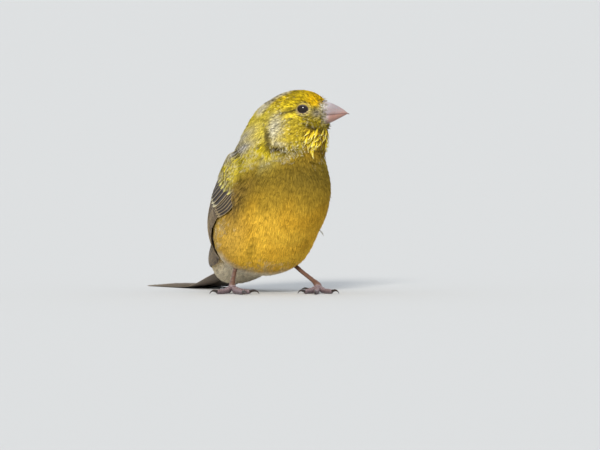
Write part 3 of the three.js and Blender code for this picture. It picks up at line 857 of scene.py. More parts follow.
# How much longer or shorter each primary is: the third from the front is the longest.
PRIMARY_TIPS = np.array([-0.045, -0.005, 0.012, 0.012, 0, -0.004, 0, 0, 0])
VANE_THICK = 0.14
SHINGLE_TILT = 0.22
SHAFT_RISE = 0.1 * (np.abs(ACROSS) < 0.01)
SIDES = (("right", -1), ("left", 1))


def wing_vanes(side, row, tip_shift):
    """Tops and normals of a row's vanes, and whether each was built facing outwards."""
    count, root_a, root_b, tip_a, tip_b, half, roundness, taper, level = row
    rank = np.linspace(0, 1, count)[:, None, None]
    along, across = vane_shape(roundness, taper)
    along = np.broadcast_to(along, (count, *along.shape))
    across = np.broadcast_to(across, along.shape)
    root = [a + (b - a) * rank for a, b in zip(root_a, root_b)]
    tip = [a + (b - a) * rank for a, b in zip(tip_a, tip_b)]
    tip[0] = tip[0] + np.broadcast_to(tip_shift, count)[:, None, None]
    share = root[0] + (tip[0] - root[0]) * along
    middle = root[1] + (tip[1] - root[1]) * ramp(along, 0, 0.7)
    spine_share, front, back = wing_edges(share.ravel(), side)
    turn = front + (back - front) * (middle.ravel() + 1) / 2
    half = (half[0] + (half[1] - half[0]) * rank) * np.ones_like(share)
    level = level[0] + (level[1] - level[0]) * rank
    height = WING_LIFT + (level - WING_LIFT) * fullness(share, 0.3) + SHINGLE_TILT * across
    height = height + SHAFT_RISE
    _, reach = on_bed(spine_share, side, turn, height.ravel())
    wider = np.degrees(across.ravel() * half.ravel() / np.maximum(reach, 3.0))
    room = np.where(wider > 0, front - 1 - turn, turn - back + 5)
    room = np.maximum(room, 2)
    turn = turn + room * np.tanh(wider / room)
    dip = (0.9 - 0.6 * ramp(share.ravel(), 0.3, 0.45)) * (1 - ramp(front - turn, 1, 13))
    points, _ = on_bed(spine_share, side, turn, height.ravel() * (1 - dip))
    tops = points.reshape(*share.shape, 3)
    normals = unit(np.cross(np.gradient(tops, axis=1), np.gradient(tops, axis=2)))
    outwards = (normals * (tops - table_at(SPINE, spine_share).reshape(tops.shape))).sum((1, 2, 3)) > 0
    normals = np.where(outwards[:, None, None, None], normals, -normals)
    return tops, normals, outwards


for side_name, side in SIDES:
    for row_name, (row, tints) in WING_FEATHERS.items():
        draw = np.random.default_rng(len(row_name))
        tops, normals, outwards = wing_vanes(side, row, PRIMARY_TIPS if row_name == "primaries" else 0)
        colours = vane_colours(len(tops), *tints, draw)
        lengths = np.linalg.norm(np.diff(tops[:, :, SHAFT], axis=1), axis=2).sum(1)
        halves = np.full(len(tops), np.mean(row[5]))
        if not outwards[0]:
            tops, normals, colours = tops[:, :, ::-1], normals[:, :, ::-1], colours[:, :, ::-1]
        piece = add_vanes(f"{row_name}_{side_name}", tops, normals, VANE_THICK, colours, lengths, halves)
        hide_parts(f"wing_{side_name}")
        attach(piece, "root")


# The tail: six pairs of feathers that lie on each other, the middle pair on top and the outer pair longest,
# so that the end is forked. They come out between rump and vent, bend back and lie along the floor.
TAIL_PAIRS = 6
TAIL_HALF = 3.6
TAIL_LAYER = 0.13
TAIL_VANE_THICK = 0.12
TAIL_FRINGE = paint(146, 128, 102)
TAIL_TINTS = (paint(84, 70, 60), TAIL_FRINGE, TAIL_FRINGE, 0.94, 0.015)
for side_name, side in SIDES:
    draw = np.random.default_rng(17)
    along, across = vane_shape(0.05, -0.25)
    pair = np.arange(TAIL_PAIRS)[:, None, None]
    reach = TAIL_END - TAIL_ROOT + TAIL_FORK * (pair / (TAIL_PAIRS - 1)) ** 1.5
    y = TAIL_ROOT + reach * along
    root_x, tip_x = 0.5 + 0.5 * pair, 1.9 + 1.15 * pair
    x = side * (root_x + (tip_x - root_x) * along - across * TAIL_HALF)
    room = tail_thickness(y) - TAIL_LAYER
    z = tail_underside(y) + np.clip(room - TAIL_LAYER * pair * room, TAIL_VANE_THICK, None)
    z = z + 0.07 * across + SHAFT_RISE
    tops = np.stack(np.broadcast_arrays(x, y, z), -1)
    normals = np.tile(UP, (*tops.shape[:3], 1))
    if side > 0:
        tops = tops[:, :, ::-1]
    colours = vane_colours(TAIL_PAIRS, *TAIL_TINTS, draw)
    lengths = np.full(TAIL_PAIRS, TAIL_END - TAIL_ROOT)
    halves = np.full(TAIL_PAIRS, TAIL_HALF)
    piece = add_vanes(f"tail_{side_name}", tops, normals, TAIL_VANE_THICK, colours, lengths, halves)
    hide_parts("tail")
    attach(piece, "root")


# The coat: contour feathers, each a fan of fine barbs that springs from the skin, rises through the coat
# and lies along the body with its tip over the next one. The smallest are on the face, and the throat's
# stand out in spikes.
ROOT_INPUTS = {"Surface": "Geometry", "Spacing": "Float", "Crowd": "Float", "Seed": "Int"}


def scattered(surface, spacing, seed):
    """Places spread over a surface no nearer to each other than the spacing, in millimetres."""
    tree = bpy.data.node_groups.new("roots", "GeometryNodeTree")
    asked = {}
    for name, kind in ROOT_INPUTS.items():
        asked[name] = tree.interface.new_socket(name, in_out="INPUT", socket_type=f"NodeSocket{kind}")
    tree.interface.new_socket("Roots", in_out="OUTPUT", socket_type="NodeSocketGeometry")
    given = tree.nodes.new("NodeGroupInput").outputs
    ways = {"Distance Min": given["Spacing"], "Density Max": given["Crowd"], "Seed": given["Seed"]}
    spread = add_node(
        tree,
        "GeometryNodeDistributePointsOnFaces",
        {"Mesh": given["Surface"], **ways},
        distribute_method="POISSON",
    )
    roots = add_node(tree, "GeometryNodePointsToVertices", {"Points": spread.outputs["Points"]})
    add_node(tree, "NodeGroupOutput", {"Roots": roots.outputs["Mesh"]})
    modifier = surface.modifiers.new("roots", "NODES")
    modifier.node_group = tree
    modifier[asked["Spacing"].identifier] = spacing * MM
    modifier[asked["Crowd"].identifier] = 3 / (spacing * MM) ** 2
    modifier[asked["Seed"].identifier] = seed
    evaluated = surface.evaluated_get(bpy.context.evaluated_depsgraph_get())
    made = bpy.data.meshes.new_from_object(evaluated)
    places = np.empty(len(made.vertices) * 3, np.float32)
    made.vertices.foreach_get("co", places)
    surface.modifiers.remove(modifier)
    bpy.data.meshes.remove(made)
    return places.reshape(-1, 3).astype(float) / MM - ORIGIN


BILL_AT = on_head(9.5, 0, 0.5)
GUIDE_STEPS = 5


def lie_of_coat(points, sway):
    """The way that the feathers point: away from the bill on the head, then along the body."""
    step, turn = along_line(points)
    from_bill = unit(points - BILL_AT)
    near = 1 - ramp(np.linalg.norm(points - HEAD_AT, axis=1), 9, 17)[:, None]
    way = from_bill * near + LINE_WAY[step] * (1 - near)
    side = np.cross(unit(slope(body_height, points)), way)
    flank = spot(np.abs(turn), 105, 22) * ramp(36 - points[:, 2], 0, 8) * np.sign(turn)
    swirl = 0.22 * waver(points, 6.5, 11) + sway + 0.12 * flank
    return unit(way + side * swirl[:, None])


def guides(roots, length, tip_level, sway):
    """The middle lines of feathers that rise from their roots to a level over the outline of the coat."""
    start_level = body_height(roots)
    place = roots
    lines = [roots]
    normals = [unit(slope(body_height, roots))]
    for step in range(1, GUIDE_STEPS):
        share = step / (GUIDE_STEPS - 1)
        way = lie_of_coat(place, sway)
        normal = normals[-1]
        way = unit(way - normal * (way * normal).sum(1, keepdims=True))
        place = place + way * (length / (GUIDE_STEPS - 1))[:, None]
        wing_top, banked, lying_over = wing_rise(place)
        aim = np.maximum(tip_level, banked + 0.5 * tip_level)
        level = start_level + (aim - start_level) * share**0.55
        level = np.maximum(level, np.where(lying_over & (wing_top > 0), wing_top + 0.08, -9))
        rise = slope(body_height, place)
        place = place + rise * ((level - body_height(place)) / np.maximum((rise**2).sum(1), 0.3))[:, None]
        lines.append(place)
        normals.append(unit(rise))
    return np.stack(lines, 1), np.stack(normals, 1)


def wing_rise(points):
    """Height of the wings, the same run out beyond their edges, and where the coat lies over them."""
    top, across, share = wing_height(points)
    beside = 1 - ramp(np.abs(across), 1.0, 1.35)
    before = 1 - ramp(-share, 0.0, 0.2)
    over = (share < 0.26) | (across > 0.3)
    bank = np.where(over, (WING_LIFT + THIN_EDGE) * beside * before, 0)
    return top, np.where(over, np.maximum(bank, top), 0), over


def at_share(lines, share):
    """Points along each guide at a share of its length for each of its barbs: feathers, barbs, 3."""
    at = share * (GUIDE_STEPS - 1)
    low = np.clip(at.astype(int), 0, GUIDE_STEPS - 2)
    part = (at - low)[..., None]
    rows = np.arange(len(lines))[:, None]
    return lines[rows, low] * (1 - part) + lines[rows, low + 1] * part


BARB_SIDES = [(0, 2, 5), (0, 5, 3), (2, 1, 4), (2, 4, 5), (1, 0, 3), (1, 3, 4)]
BARB_ENDS = [(0, 1, 2), (3, 5, 6), (5, 4, 6), (4, 3, 6)]
BARB_FACES = np.array(BARB_SIDES + BARB_ENDS)
BARB_ACROSS = np.array([-1, 1, 0, -1, 1, 0, 0])
BARB_ALONG = np.array([0, 0, -0.3, 0.7, 0.7, 0.8, 1])
BARB_CUP = 0.12
PATCH = 0.003
coat_barbs = []


def grow(
    roots, barbs, length, half_width, tip_level, sway, draw, barb_width, ridge,
    uneven=0.16, barb_uneven=0.22, edge_shade=0.0, close=1.0, lines=None, tint=None,
):
    """Adds one fan of barbs for each root. All sizes but the count may differ from feather to feather."""
    count = len(roots)
    length, half_width, tip_level, sway = (
        np.broadcast_to(np.asarray(value, float), count) for value in (length, half_width, tip_level, sway)
    )
    lines, normals = guides(roots, length, tip_level, sway) if lines is None else lines
    across = np.linspace(-1, 1, barbs) + draw.uniform(-0.25, 0.25, (count, barbs)) * 2 / barbs
    ends = (1 - 0.25 * across**2) * draw.uniform(0.84, 1.0, (count, barbs))
    width = (barb_width * half_width / barbs)[:, None, None] * draw.uniform(0.75, 1.2, (count, barbs, 1))
    rings = []
    for share, spread, wide in ((0.0, 0.2, 0.6), (0.72, 0.9, 1.0), (1.0, close, 0.0)):
        at = share * ends
        ahead = at_share(lines, np.minimum(at + 0.1, 1)) - at_share(lines, at - 0.1 * (share > 0))
        up = at_share(normals, at)
        side = unit(np.cross(unit(ahead), up))
        offset = across * half_width[:, None] * spread
        dip = BARB_CUP * across**2 * half_width[:, None] * spread
        middle = at_share(lines, at) + side * offset[..., None] - up * dip[..., None]
        if wide:
            rings += [middle - side * width * wide, middle + side * width * wide, middle + up * ridge]
        else:
            rings += [middle]
    points = np.stack(rings, 2)
    lit = at_share(normals, 0.8 * ends)[:, :, None] + 0.3 * side[:, :, None] * BARB_ACROSS[:, None]
    dark = streak_share(lines[:, 3])[:, None] * np.clip(1.35 - 2.4 * np.abs(across), 0, 1)
    tips = lines[:, 4]
    pale = draw.uniform(0.6, 1, (count, 1)) * (draw.random(count) < tip_share(tips))[:, None]
    fleck = draw.uniform(0.6, 0.95, (count, 1)) * (draw.random(count) < fleck_share(tips))[:, None]
    shade = draw.uniform(1 - uneven, 1 + uneven, (count, 1))
    shade = shade * draw.uniform(1 - barb_uneven, 1 + barb_uneven, (count, barbs))
    # Painted shade: the outer barbs of a feather darker and the middle ones lighter, for the dark gaps
    # between feathers.
    shade = shade * (1 + edge_shade * (0.5 - np.abs(across)))
    if tint is None:
        tint = [plumage(points[:, :, ring].reshape(-1, 3)).reshape(count, barbs, 3) for ring in (5, 6)]
    middle_colour, tip_colour = (np.broadcast_to(colour, (count, barbs, 3)) for colour in tint)
    middle_colour = middle_colour * (1 - 0.2 * pale)[..., None]
    middle_colour = mixed(mixed(middle_colour, DARK_OLIVE, dark), FLECK_DARK, 0.6 * fleck)
    tip_colour = mixed(mixed(tip_colour, DARK_OLIVE, 0.8 * dark), FLECK_DARK, fleck)
    tip_colour = mixed(tip_colour, WHITE_RIM, 0.75 * pale)
    # Each barb is darkest at its root, partly the grey base of the feather and partly painted shade in the
    # gaps between feathers, and paler at its end.
    parts = [middle_colour * 0.4] * 3 + [middle_colour * 0.9] * 3 + [tip_colour * 1.14]
    colours = np.stack(parts, 2) * shade[..., None, None]
    step, turn = along_line(roots)
    home = np.stack([0.5 + 0.45 * turn / 180, 0.04 + 0.92 * step / (len(LINE) - 1)], 1)
    own_u = (across[..., None] + BARB_ACROSS / barbs) * PATCH / 2.3
    own = home[:, None, None] + np.stack([own_u, np.broadcast_to(BARB_ALONG * PATCH, own_u.shape)], -1)
    band = np.clip((step * 5) // len(LINE), 0, 4)
    sector = ((np.abs(turn) > 45).astype(int) + (np.abs(turn) > 125)) * np.where(turn < 0, -1, 1)
    sector = np.select([sector == 0, np.abs(sector) == 2, sector == 1], [0, 1, 2], 3)
    region = np.repeat(band * 4 + sector, barbs)
    made = [part.reshape(-1, 7, part.shape[-1]) for part in (points, colours, own, unit(lit))]
    coat_barbs.append((*made, region))


def uncovered(roots):
    """Leaves out the roots that the folded wings hide."""
    _, across, share = wing_height(roots)
    inner = 0.8 - 0.75 * ramp(share, 0.45, 0.75)
    outer = -0.99 + 0.9 * ramp(share, 0.22, 0.3)
    return roots[~((share > 0.1) & (share < 0.97) & (across > outer) & (across < inner))]


def off_the_face(roots):
    """Leaves out roots under the eyes and the bill."""
    ahead, right, up = head_places(roots).T
    eye = (np.hypot((ahead - EYE_AT[0]) / 1.95, (up - EYE_AT[2]) / 1.65) < 1) & (np.abs(right) > 3)
    bill = (ahead > 8.0) & (np.abs(right) < 3.3) & (np.abs(up - 0.3) < 4.3)
    return roots[~(eye | bill)]


HEAD_SPACING = 0.33
BODY_SPACING = 0.61
HEAD_REACH = 14.5
HEAD_FUZZ = 1.5
draw = np.random.default_rng(3)
roots = off_the_face(scattered(skin, HEAD_SPACING, 5))
from_head = np.linalg.norm(roots - HEAD_AT, axis=1)
roots = roots[from_head + draw.uniform(-HEAD_FUZZ, HEAD_FUZZ, len(roots)) < HEAD_REACH]
from_face = ramp(np.linalg.norm(roots - FACE_AT, axis=1), 3, 11)
from_eye = np.hypot(*(head_places(roots)[:, ::2] - np.array(EYE_AT)[::2]).T)
small = 0.45 + 0.55 * ramp(from_eye, 2.0, 4.5)
length = (1.5 + 1.6 * from_face) * small * draw.uniform(0.8, 1.25, len(roots))
half = (0.26 + 0.2 * from_face) * small
level = draw.uniform(-0.1, 0.14, len(roots))
sway = draw.normal(0, 0.12, len(roots))
# the head feathers get painted shade at their edges
grow(roots, 4, length, half, level, sway, draw, 1.15, 0.05, uneven=0.4, edge_shade=0.5)

roots = uncovered(scattered(skin, BODY_SPACING, 6))
from_head = np.linalg.norm(roots - HEAD_AT, axis=1)
roots = roots[from_head + draw.uniform(-HEAD_FUZZ, HEAD_FUZZ, len(roots)) > HEAD_REACH]
size = ramp(np.linalg.norm(roots - HEAD_AT, axis=1), 12, 24)
length = (3.6 + 2.8 * size) * draw.uniform(0.75, 1.25, len(roots))
half = (0.75 + 0.65 * size) * draw.uniform(0.85, 1.15, len(roots))
level = draw.uniform(-0.2, 0.15, len(roots))
sway = draw.normal(0, 0.12, len(roots))
grow(roots, 10, length, half, level, sway, draw, 0.95, 0.07, uneven=0.08, barb_uneven=0.34)

# Spikes of the throat, which spread from under the corner of the bill, fine pale hairs in front of them and
# stray ones elsewhere, and the short feathers that lie forward over the root of the bill.
SPIKE_TINT = (paint(236, 206, 50), paint(252, 242, 170))
HAIR_TINT = (paint(226, 216, 180), paint(240, 234, 210))
NASAL_GREY = paint(196, 186, 160)
NASAL_WHITE = paint(236, 228, 200)
STRAY_FEATHER = (14.0, -13.0, 21.0)
draw = np.random.default_rng(8)
roots = scattered(skin, 0.95, 9)
ahead, right, up = head_places(roots).T
roots = roots[(ahead > 4.6) & (up < -3.8) & (up > -10.0) & (ahead - 0.4 * up > 7.4)]
count = len(roots)
length = draw.uniform(4.2, 6.0, count)
level = draw.uniform(0.35, 1.1, count)
sway = draw.normal(0, 0.16, count)
half = draw.uniform(0.24, 0.42, count)
grow(roots, 5, length, half, level, sway, draw, 1.5, 0.1, close=0.25, uneven=0.2, tint=SPIKE_TINT)

roots = scattered(skin, 0.9, 12)
ahead, right, up = head_places(roots).T
hairs = roots[(ahead > 8.0) & (np.abs(right) < 4.5) & (up < -4) & (up > -11)]
count = len(hairs)
level = draw.uniform(0.8, 1.9, count)
length = draw.uniform(2.5, 4, count)
grow(hairs, 1, length, 0.035, level, draw.normal(0, 0.5, count), draw, 1.0, 0.03, tint=HAIR_TINT)

strays = uncovered(scattered(skin, 2.3, 13))
_, across, _ = wing_height(strays)
strays = strays[(np.linalg.norm(strays - HEAD_AT, axis=1) > 12) & (np.abs(across) > 1.5)]
count = len(strays)
length = draw.uniform(4, 6.5, count)
level = draw.uniform(0.15, 0.8, count)
grow(strays, 1, length, 0.05, level, draw.normal(0, 0.5, count), draw, 1.0, 0.04)
roots = strays[[np.linalg.norm(strays - STRAY_FEATHER, axis=1).argmin()]]
grow(roots, 5, 5.5, 0.3, 2.4, 0.9, draw, 1.0, 0.05, close=0.3, tint=(WHITE_RIM, WHITE_RIM))

roots = scattered(skin, 0.42, 10)
ahead, right, up = head_places(roots).T
roots = roots[(ahead > 6.8) & (np.abs(right) < 4.4) & (np.abs(up - 0.6) < 5.2)]
ahead, right, up = head_places(roots).T
normal = unit(slope(body_height, roots))
way = unit(HEAD_FORWARD + 0.22 * normal + draw.normal(0, 0.24, (len(roots), 3)))
along = np.linspace(0, 1, GUIDE_STEPS)
reach = draw.uniform(0.8, 2.0, len(roots))[:, None, None] * along[:, None]
straight = roots[:, None] + way[:, None] * reach
straight = straight + normal[:, None] * 0.6 * FACE_DEPTH * np.sin(np.pi * along)[:, None]
lines = (straight, np.repeat(normal[:, None], GUIDE_STEPS, 1))
nasal = [
    (NASAL_GREY, ramp(np.abs(right), 1.0, 2.4) * spot(up, -0.8, 2.2) * 0.8),
    (NASAL_WHITE, 1.2 * spot(up, 3.0, 1.1) * ramp(np.abs(right), 0.3, 1.2)),
]
collar = layered(plumage(roots), nasal)[:, None]
grow(roots, 4, 1, 0.2, 0, 0, draw, 0.7, 0.03, uneven=0.35, close=1.2, lines=lines, tint=(collar, collar))

feather_finish, feather_shader = coloured_material("feather", "coat_colour", 0.8, 0.3, 0.03, uneven=0.1)
feather_shader.inputs["Specular IOR Level"].default_value = 0.03
BANDS = ("head", "neck", "breast", "belly", "hip")
SECTORS = ("back", "front", "right", "left")
coat_points, coat_colours, coat_homes, coat_normals, coat_regions = map(np.concatenate, zip(*coat_barbs))
for region in np.unique(coat_regions):
    name = f"coat_{BANDS[region // 4]}_{SECTORS[region % 4]}"
    chosen = coat_regions == region
    faces = (BARB_FACES + 7 * np.arange(chosen.sum())[:, None, None]).reshape(-1, 3)
    piece = add_mesh(name, coat_points[chosen].reshape(-1, 3), faces)
    add_colours(piece.data, "coat_colour", coat_colours[chosen].reshape(-1, 3))
    home_map = piece.data.uv_layers.new(name="OFBake")
    homes = coat_homes[chosen].reshape(-1, 2)[faces.ravel()]
    home_map.data.foreach_set("uv", homes.astype(np.float32).ravel())
    piece.data.normals_split_custom_set_from_vertices(coat_normals[chosen].reshape(-1, 3))
    piece.data.materials.append(feather_finish)
    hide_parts("head", "neck", "trunk", "thigh_left", "thigh_right")
    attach(piece, "root")


# The eyes: dark, wet balls, each between two small lids that are edged with pale, beaded skin. The opening
# is a little longer than it is high.
EYE_RADIUS = 2.3
EYE_OPENING = (1.8, 1.36)
LID_THICK = 0.21
UPPER_LID = 1.3
LID_STEPS = 64
LID_SIDES = 12
LID_GOLD = paint(168, 144, 44)
LID_PINK = paint(200, 170, 142)
LID_INNER = paint(52, 40, 38)
eye_finish, eye_shader = plain_material("eye", (0.012, 0.007, 0.005), 0.06)
for input_name, value in (
    ("Specular IOR Level", 0.0),
    ("Coat Weight", 1.0),
    ("Coat IOR", 1.36),
    ("Coat Roughness", 0.02),
):
    eye_shader.inputs[input_name].default_value = value
lid_finish, _ = coloured_material("lid", "lid_colour", 0.55, 0.25, 0.05)


def rings_to_faces(rings, around, closed=False):
    """Four-cornered faces between rings of points, the last of which may join the first."""
    ring, corner = np.meshgrid(np.arange(rings if closed else rings - 1), np.arange(around), indexing="ij")
    ring, corner = ring.ravel(), corner.ravel()
    after, beside = (ring + 1) % rings, (corner + 1) % around
    ring, after = ring * around, after * around
    return np.stack([ring + corner, ring + beside, after + beside, after + corner], 1)


def tube_faces(rings, around):
    """Faces of rings of points and of both ends, which close on two points that come after the rings."""
    corner = np.arange(around)
    beside = (corner + 1) % around
    size = rings * around
    first = np.stack([beside, corner, np.full(around, size)], 1)
    last = np.stack([corner + size - around, beside + size - around, np.full(around, size + 1)], 1)
    return [*rings_to_faces(rings, around).tolist(), *first.tolist(), *last.tolist()]


def add_shell(name, shell):
    """An object from a closed working mesh, turned to face outwards."""
    bmesh.ops.recalc_face_normals(shell, faces=shell.faces)
    mesh = bpy.data.meshes.new(name)
    shell.to_mesh(mesh)
    shell.free()
    mesh.shade_smooth()
    piece = bpy.data.objects.new(name, mesh)
    bpy.context.scene.collection.objects.link(piece)
    return piece


def add_tube(name, points, rings, around):
    mesh = bpy.data.meshes.new(name)
    mesh.from_pydata(to_metres(points).tolist(), [], tube_faces(rings, around))
    shell = bmesh.new()
    shell.from_mesh(mesh)
    bpy.data.meshes.remove(mesh)
    return add_shell(name, shell)


for side_name, side in (("right", 1), ("left", -1)):
    middle = on_head(EYE_AT[0], side * EYE_AT[1], EYE_AT[2])
    outward = HEAD_RIGHT * side
    ball = bmesh.new()
    bmesh.ops.create_uvsphere(ball, u_segments=40, v_segments=26, radius=EYE_RADIUS * MM)
    bmesh.ops.translate(ball, vec=Vector(to_metres(middle)), verts=ball.verts)
    eye = add_shell(f"eyeball_{side_name}", ball)
    eye.data.materials.append(eye_finish)
    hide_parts(f"eye_{side_name}")
    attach(eye, "root")

    turn = np.linspace(0, 2 * np.pi, LID_STEPS, endpoint=False)[:, None]
    section = np.linspace(0, 2 * np.pi, LID_SIDES, endpoint=False)
    beads = 1 + 0.1 * np.sin(11 * turn) * np.cos(5 * turn)
    broad = 1 + UPPER_LID * ramp(np.sin(turn), 0, 0.8)
    wide, high = EYE_OPENING[0] * np.cos(turn), EYE_OPENING[1] * np.sin(turn)
    tilted = np.arctan2(high - 0.08 * np.cos(turn), wide)
    reach = np.hypot(wide, high) + LID_THICK * (0.55 + np.cos(section)) * broad * beads
    over = np.stack([reach * np.cos(tilted), reach * np.sin(tilted), np.sqrt(EYE_RADIUS**2 - reach**2)], -1)
    tube = over + unit(over) * ((0.02 + 0.62 * LID_THICK * np.sin(section)) * beads)[..., None]
    tube = tube.reshape(-1, 3)
    points = middle + tube[:, :1] * HEAD_FORWARD + tube[:, 1:2] * UP + tube[:, 2:] * outward
    faces = rings_to_faces(LID_STEPS, LID_SIDES, closed=True)
    if side < 0:
        faces = faces[:, ::-1]
    lid = add_mesh(f"lid_{side_name}", points, faces)
    inner = np.tile(np.cos(section) < -0.3, LID_STEPS)
    lower = np.repeat(ramp(-np.sin(turn), -0.2, 0.5), LID_SIDES, 0)
    edge_colour = LID_GOLD * (1 - lower) + LID_PINK * lower
    add_colours(lid.data, "lid_colour", np.where(inner[:, None], LID_INNER, edge_colour))
    lid.data.materials.append(lid_finish)
    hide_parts(f"eye_{side_name}")
    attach(lid, "root")


# The bill: two short cones of horn that meet along the gape. It is lilac with a painted highlight along the
# top, pinker towards the tip and below, with fine growth lines and a small nostril at each side of its
# root, whose dark opening is painted shade.
BILL_ROOT = 6.5
BILL_TIP = 17.6
BILL_WIDTH = 7.2
BILL_ROWS = 44
BILL_AROUND = 26
HORN_LILAC = paint(146, 134, 136)
HORN_PINK = paint(148, 112, 100)
HORN_PALE = paint(196, 188, 188)
HORN_GREY = paint(130, 122, 122)
GAPE_BROWN = paint(96, 66, 58)
HORN_SHADE = paint(112, 100, 100)
NOSTRIL_SHADE = paint(60, 48, 46)
bill_finish, bill_shader = coloured_material("horn", "horn_colour", 0.34, 0.6, 0.02, uneven=0.07)
bill_shader.inputs["Subsurface Weight"].default_value = 0.12
bill_shader.inputs["Subsurface Scale"].default_value = 0.6 * MM


def add_bill_half(name, edge, side):
    """One half of the bill, its outer edge given as a height for a share of its length: 1 is the upper."""
    share = np.linspace(0, 1, BILL_ROWS)[:, None]
    fine = 1 - 0.85 * ramp(share, 0.84, 1)
    half = BILL_WIDTH / 2 * (1 - share**1.35) + 0.28 * fine
    half = half * (1 if side > 0 else 0.95)
    gape = -0.3 + 1.05 * share + 0.16 * np.sin(share * np.pi) * (1 if side > 0 else 0.6) - side * 0.02
    high = side * np.maximum(side * (edge(share) - gape), 0.32 * fine)
    turn = np.linspace(0, np.pi, BILL_AROUND)
    right = half * np.cos(turn) * (1 - 0.06 * np.sin(turn) ** 2)
    up = gape + high * np.sin(turn) ** (0.92 if side > 0 else 0.85)
    ahead = BILL_ROOT + (BILL_TIP - BILL_ROOT) * share * np.ones(BILL_AROUND)
    if side > 0:
        ahead = ahead + 0.35 * ramp(share, 0.9, 1)
        up = up - 0.35 * ramp(share, 0.86, 1) + 0.12 * spot(turn, np.pi / 2, 0.22) * (1 - share)
        pit = spot(share, 0.33, 0.05) * (spot(turn, 0.95, 0.13) + spot(turn, np.pi - 0.95, 0.13))
        right = right * (1 - 0.14 * pit)
        up = up - 0.35 * pit
    inner_up = np.broadcast_to(gape + side * 0.05, right.shape)[:, 1:-1]
    right = np.concatenate([right, right[:, ::-1][:, 1:-1] * 0.9], 1)
    up = np.concatenate([up, inner_up], 1)
    ahead = np.concatenate([ahead, ahead[:, 1:-1]], 1)
    around = right.shape[1]
    points = on_head(ahead.ravel(), right.ravel(), up.ravel())
    ends = np.stack([points[:around].mean(0), points[-around:].mean(0)])
    piece = add_tube(name, np.concatenate([points, ends]), BILL_ROWS, around)
    piece.data.set_sharp_from_angle(angle=math.radians(50))
    share = np.broadcast_to(share, ahead.shape).ravel()
    height = ((up - gape) * side).ravel()
    gape_brown = (GAPE_BROWN, 0.75 * (1 - ramp(height, 0.02, 0.34)))
    if side > 0:
        ground = HORN_LILAC
        layers = [
            # painted highlight along the ridge of the upper half, fading towards the tip
            (HORN_PALE, 0.9 * ramp(height, 1.5, 3.6) * (1 - share)),
            (HORN_PINK, 0.75 * ramp(share + 0.2 * waver(points, 3, 21), 0.35, 0.95)),
            (HORN_PINK, 0.5 * (1 - ramp(height, 0.2, 0.9))),
            (HORN_SHADE, 0.5 * spot(share, 0.55, 0.22)),
        ]
        # painted shade in the opening of each nostril
        pit_shade = np.concatenate([pit, np.zeros((BILL_ROWS, BILL_AROUND - 2))], 1).ravel()
        over = [(HORN_GREY, 0.5 * ramp(share, 0.9, 1.0)), (NOSTRIL_SHADE, 0.9 * pit_shade)]
    else:
        ground = HORN_PINK
        layers = [
            (HORN_PALE, 0.8 * spot(share + 0.05 * height, 0.36, 0.09)),
            (HORN_LILAC, 0.5 * (1 - ramp(share, 0.2, 0.34))),
        ]
        over = []
    lines = 1 + 0.04 * np.sin(share * 90 + 0.8 * np.cos(height * 2))
    colours = layered(np.tile(ground, (share.size, 1)), [*layers, gape_brown]) * lines[:, None]
    colours = layered(colours, over)
    add_colours(piece.data, "horn_colour", np.concatenate([colours, colours[:1], colours[-1:]]))
    piece.data.materials.append(bill_finish)
    return piece


bill_halves = (
    ("bill_upper", lambda t: 5.2 - 4.3 * t**1.9, 1),
    ("bill_lower", lambda t: -4.4 + 5.1 * t**1.25, -1),
)
for node_name, edge, side in bill_halves:
    piece = add_bill_half(f"{node_name}_horn", edge, side)
    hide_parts(node_name)
    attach(piece, "root")


# The legs are bare: a thin shank with overlapping scutes down its front, and four toes with scutes on top,
# round pads below and curved claws.
TARSUS_RADIUS = 0.85
TOE_RADIUS = 0.95
CLAW_RADIUS = 0.48
FOOT_HEIGHT = 2.7
TOE_START = 0.5
TOE_FALL = 3.4
TOES = {
    "middle": (12, 3, 4.8),
    "inner": (8.6, 2, 4.4),
    "outer": (8.8, 3, 4.2),
    "hind": (7.2, 2, 6.2),
}
LEGS = {
    "right": ((-7.3, 6.1, 18), (-14, -0.4, FOOT_HEIGHT), (-8, 20, -62, 174)),
    "left": ((7.3, 2.8, 12.8), (14, -10.4, FOOT_HEIGHT), (-30, -58, 8, 180)),
}
LIMB_AROUND = 20
SCUTE_LONG = 1.15
SHANK_BROWN = paint(94, 66, 52)
SCUTE_PALE = paint(150, 128, 126)
TOE_GREY = paint(96, 80, 84)
CREASE_SHADE = paint(58, 42, 38)
CLAW_DARK = paint(46, 36, 32)
scute_finish, _ = coloured_material("scute", "scute_colour", 0.42, 0.35, 0.03, uneven=0.14)
claw_finish, _ = coloured_material("claw", "scute_colour", 0.25, 0.5, 0.01, uneven=0.08)


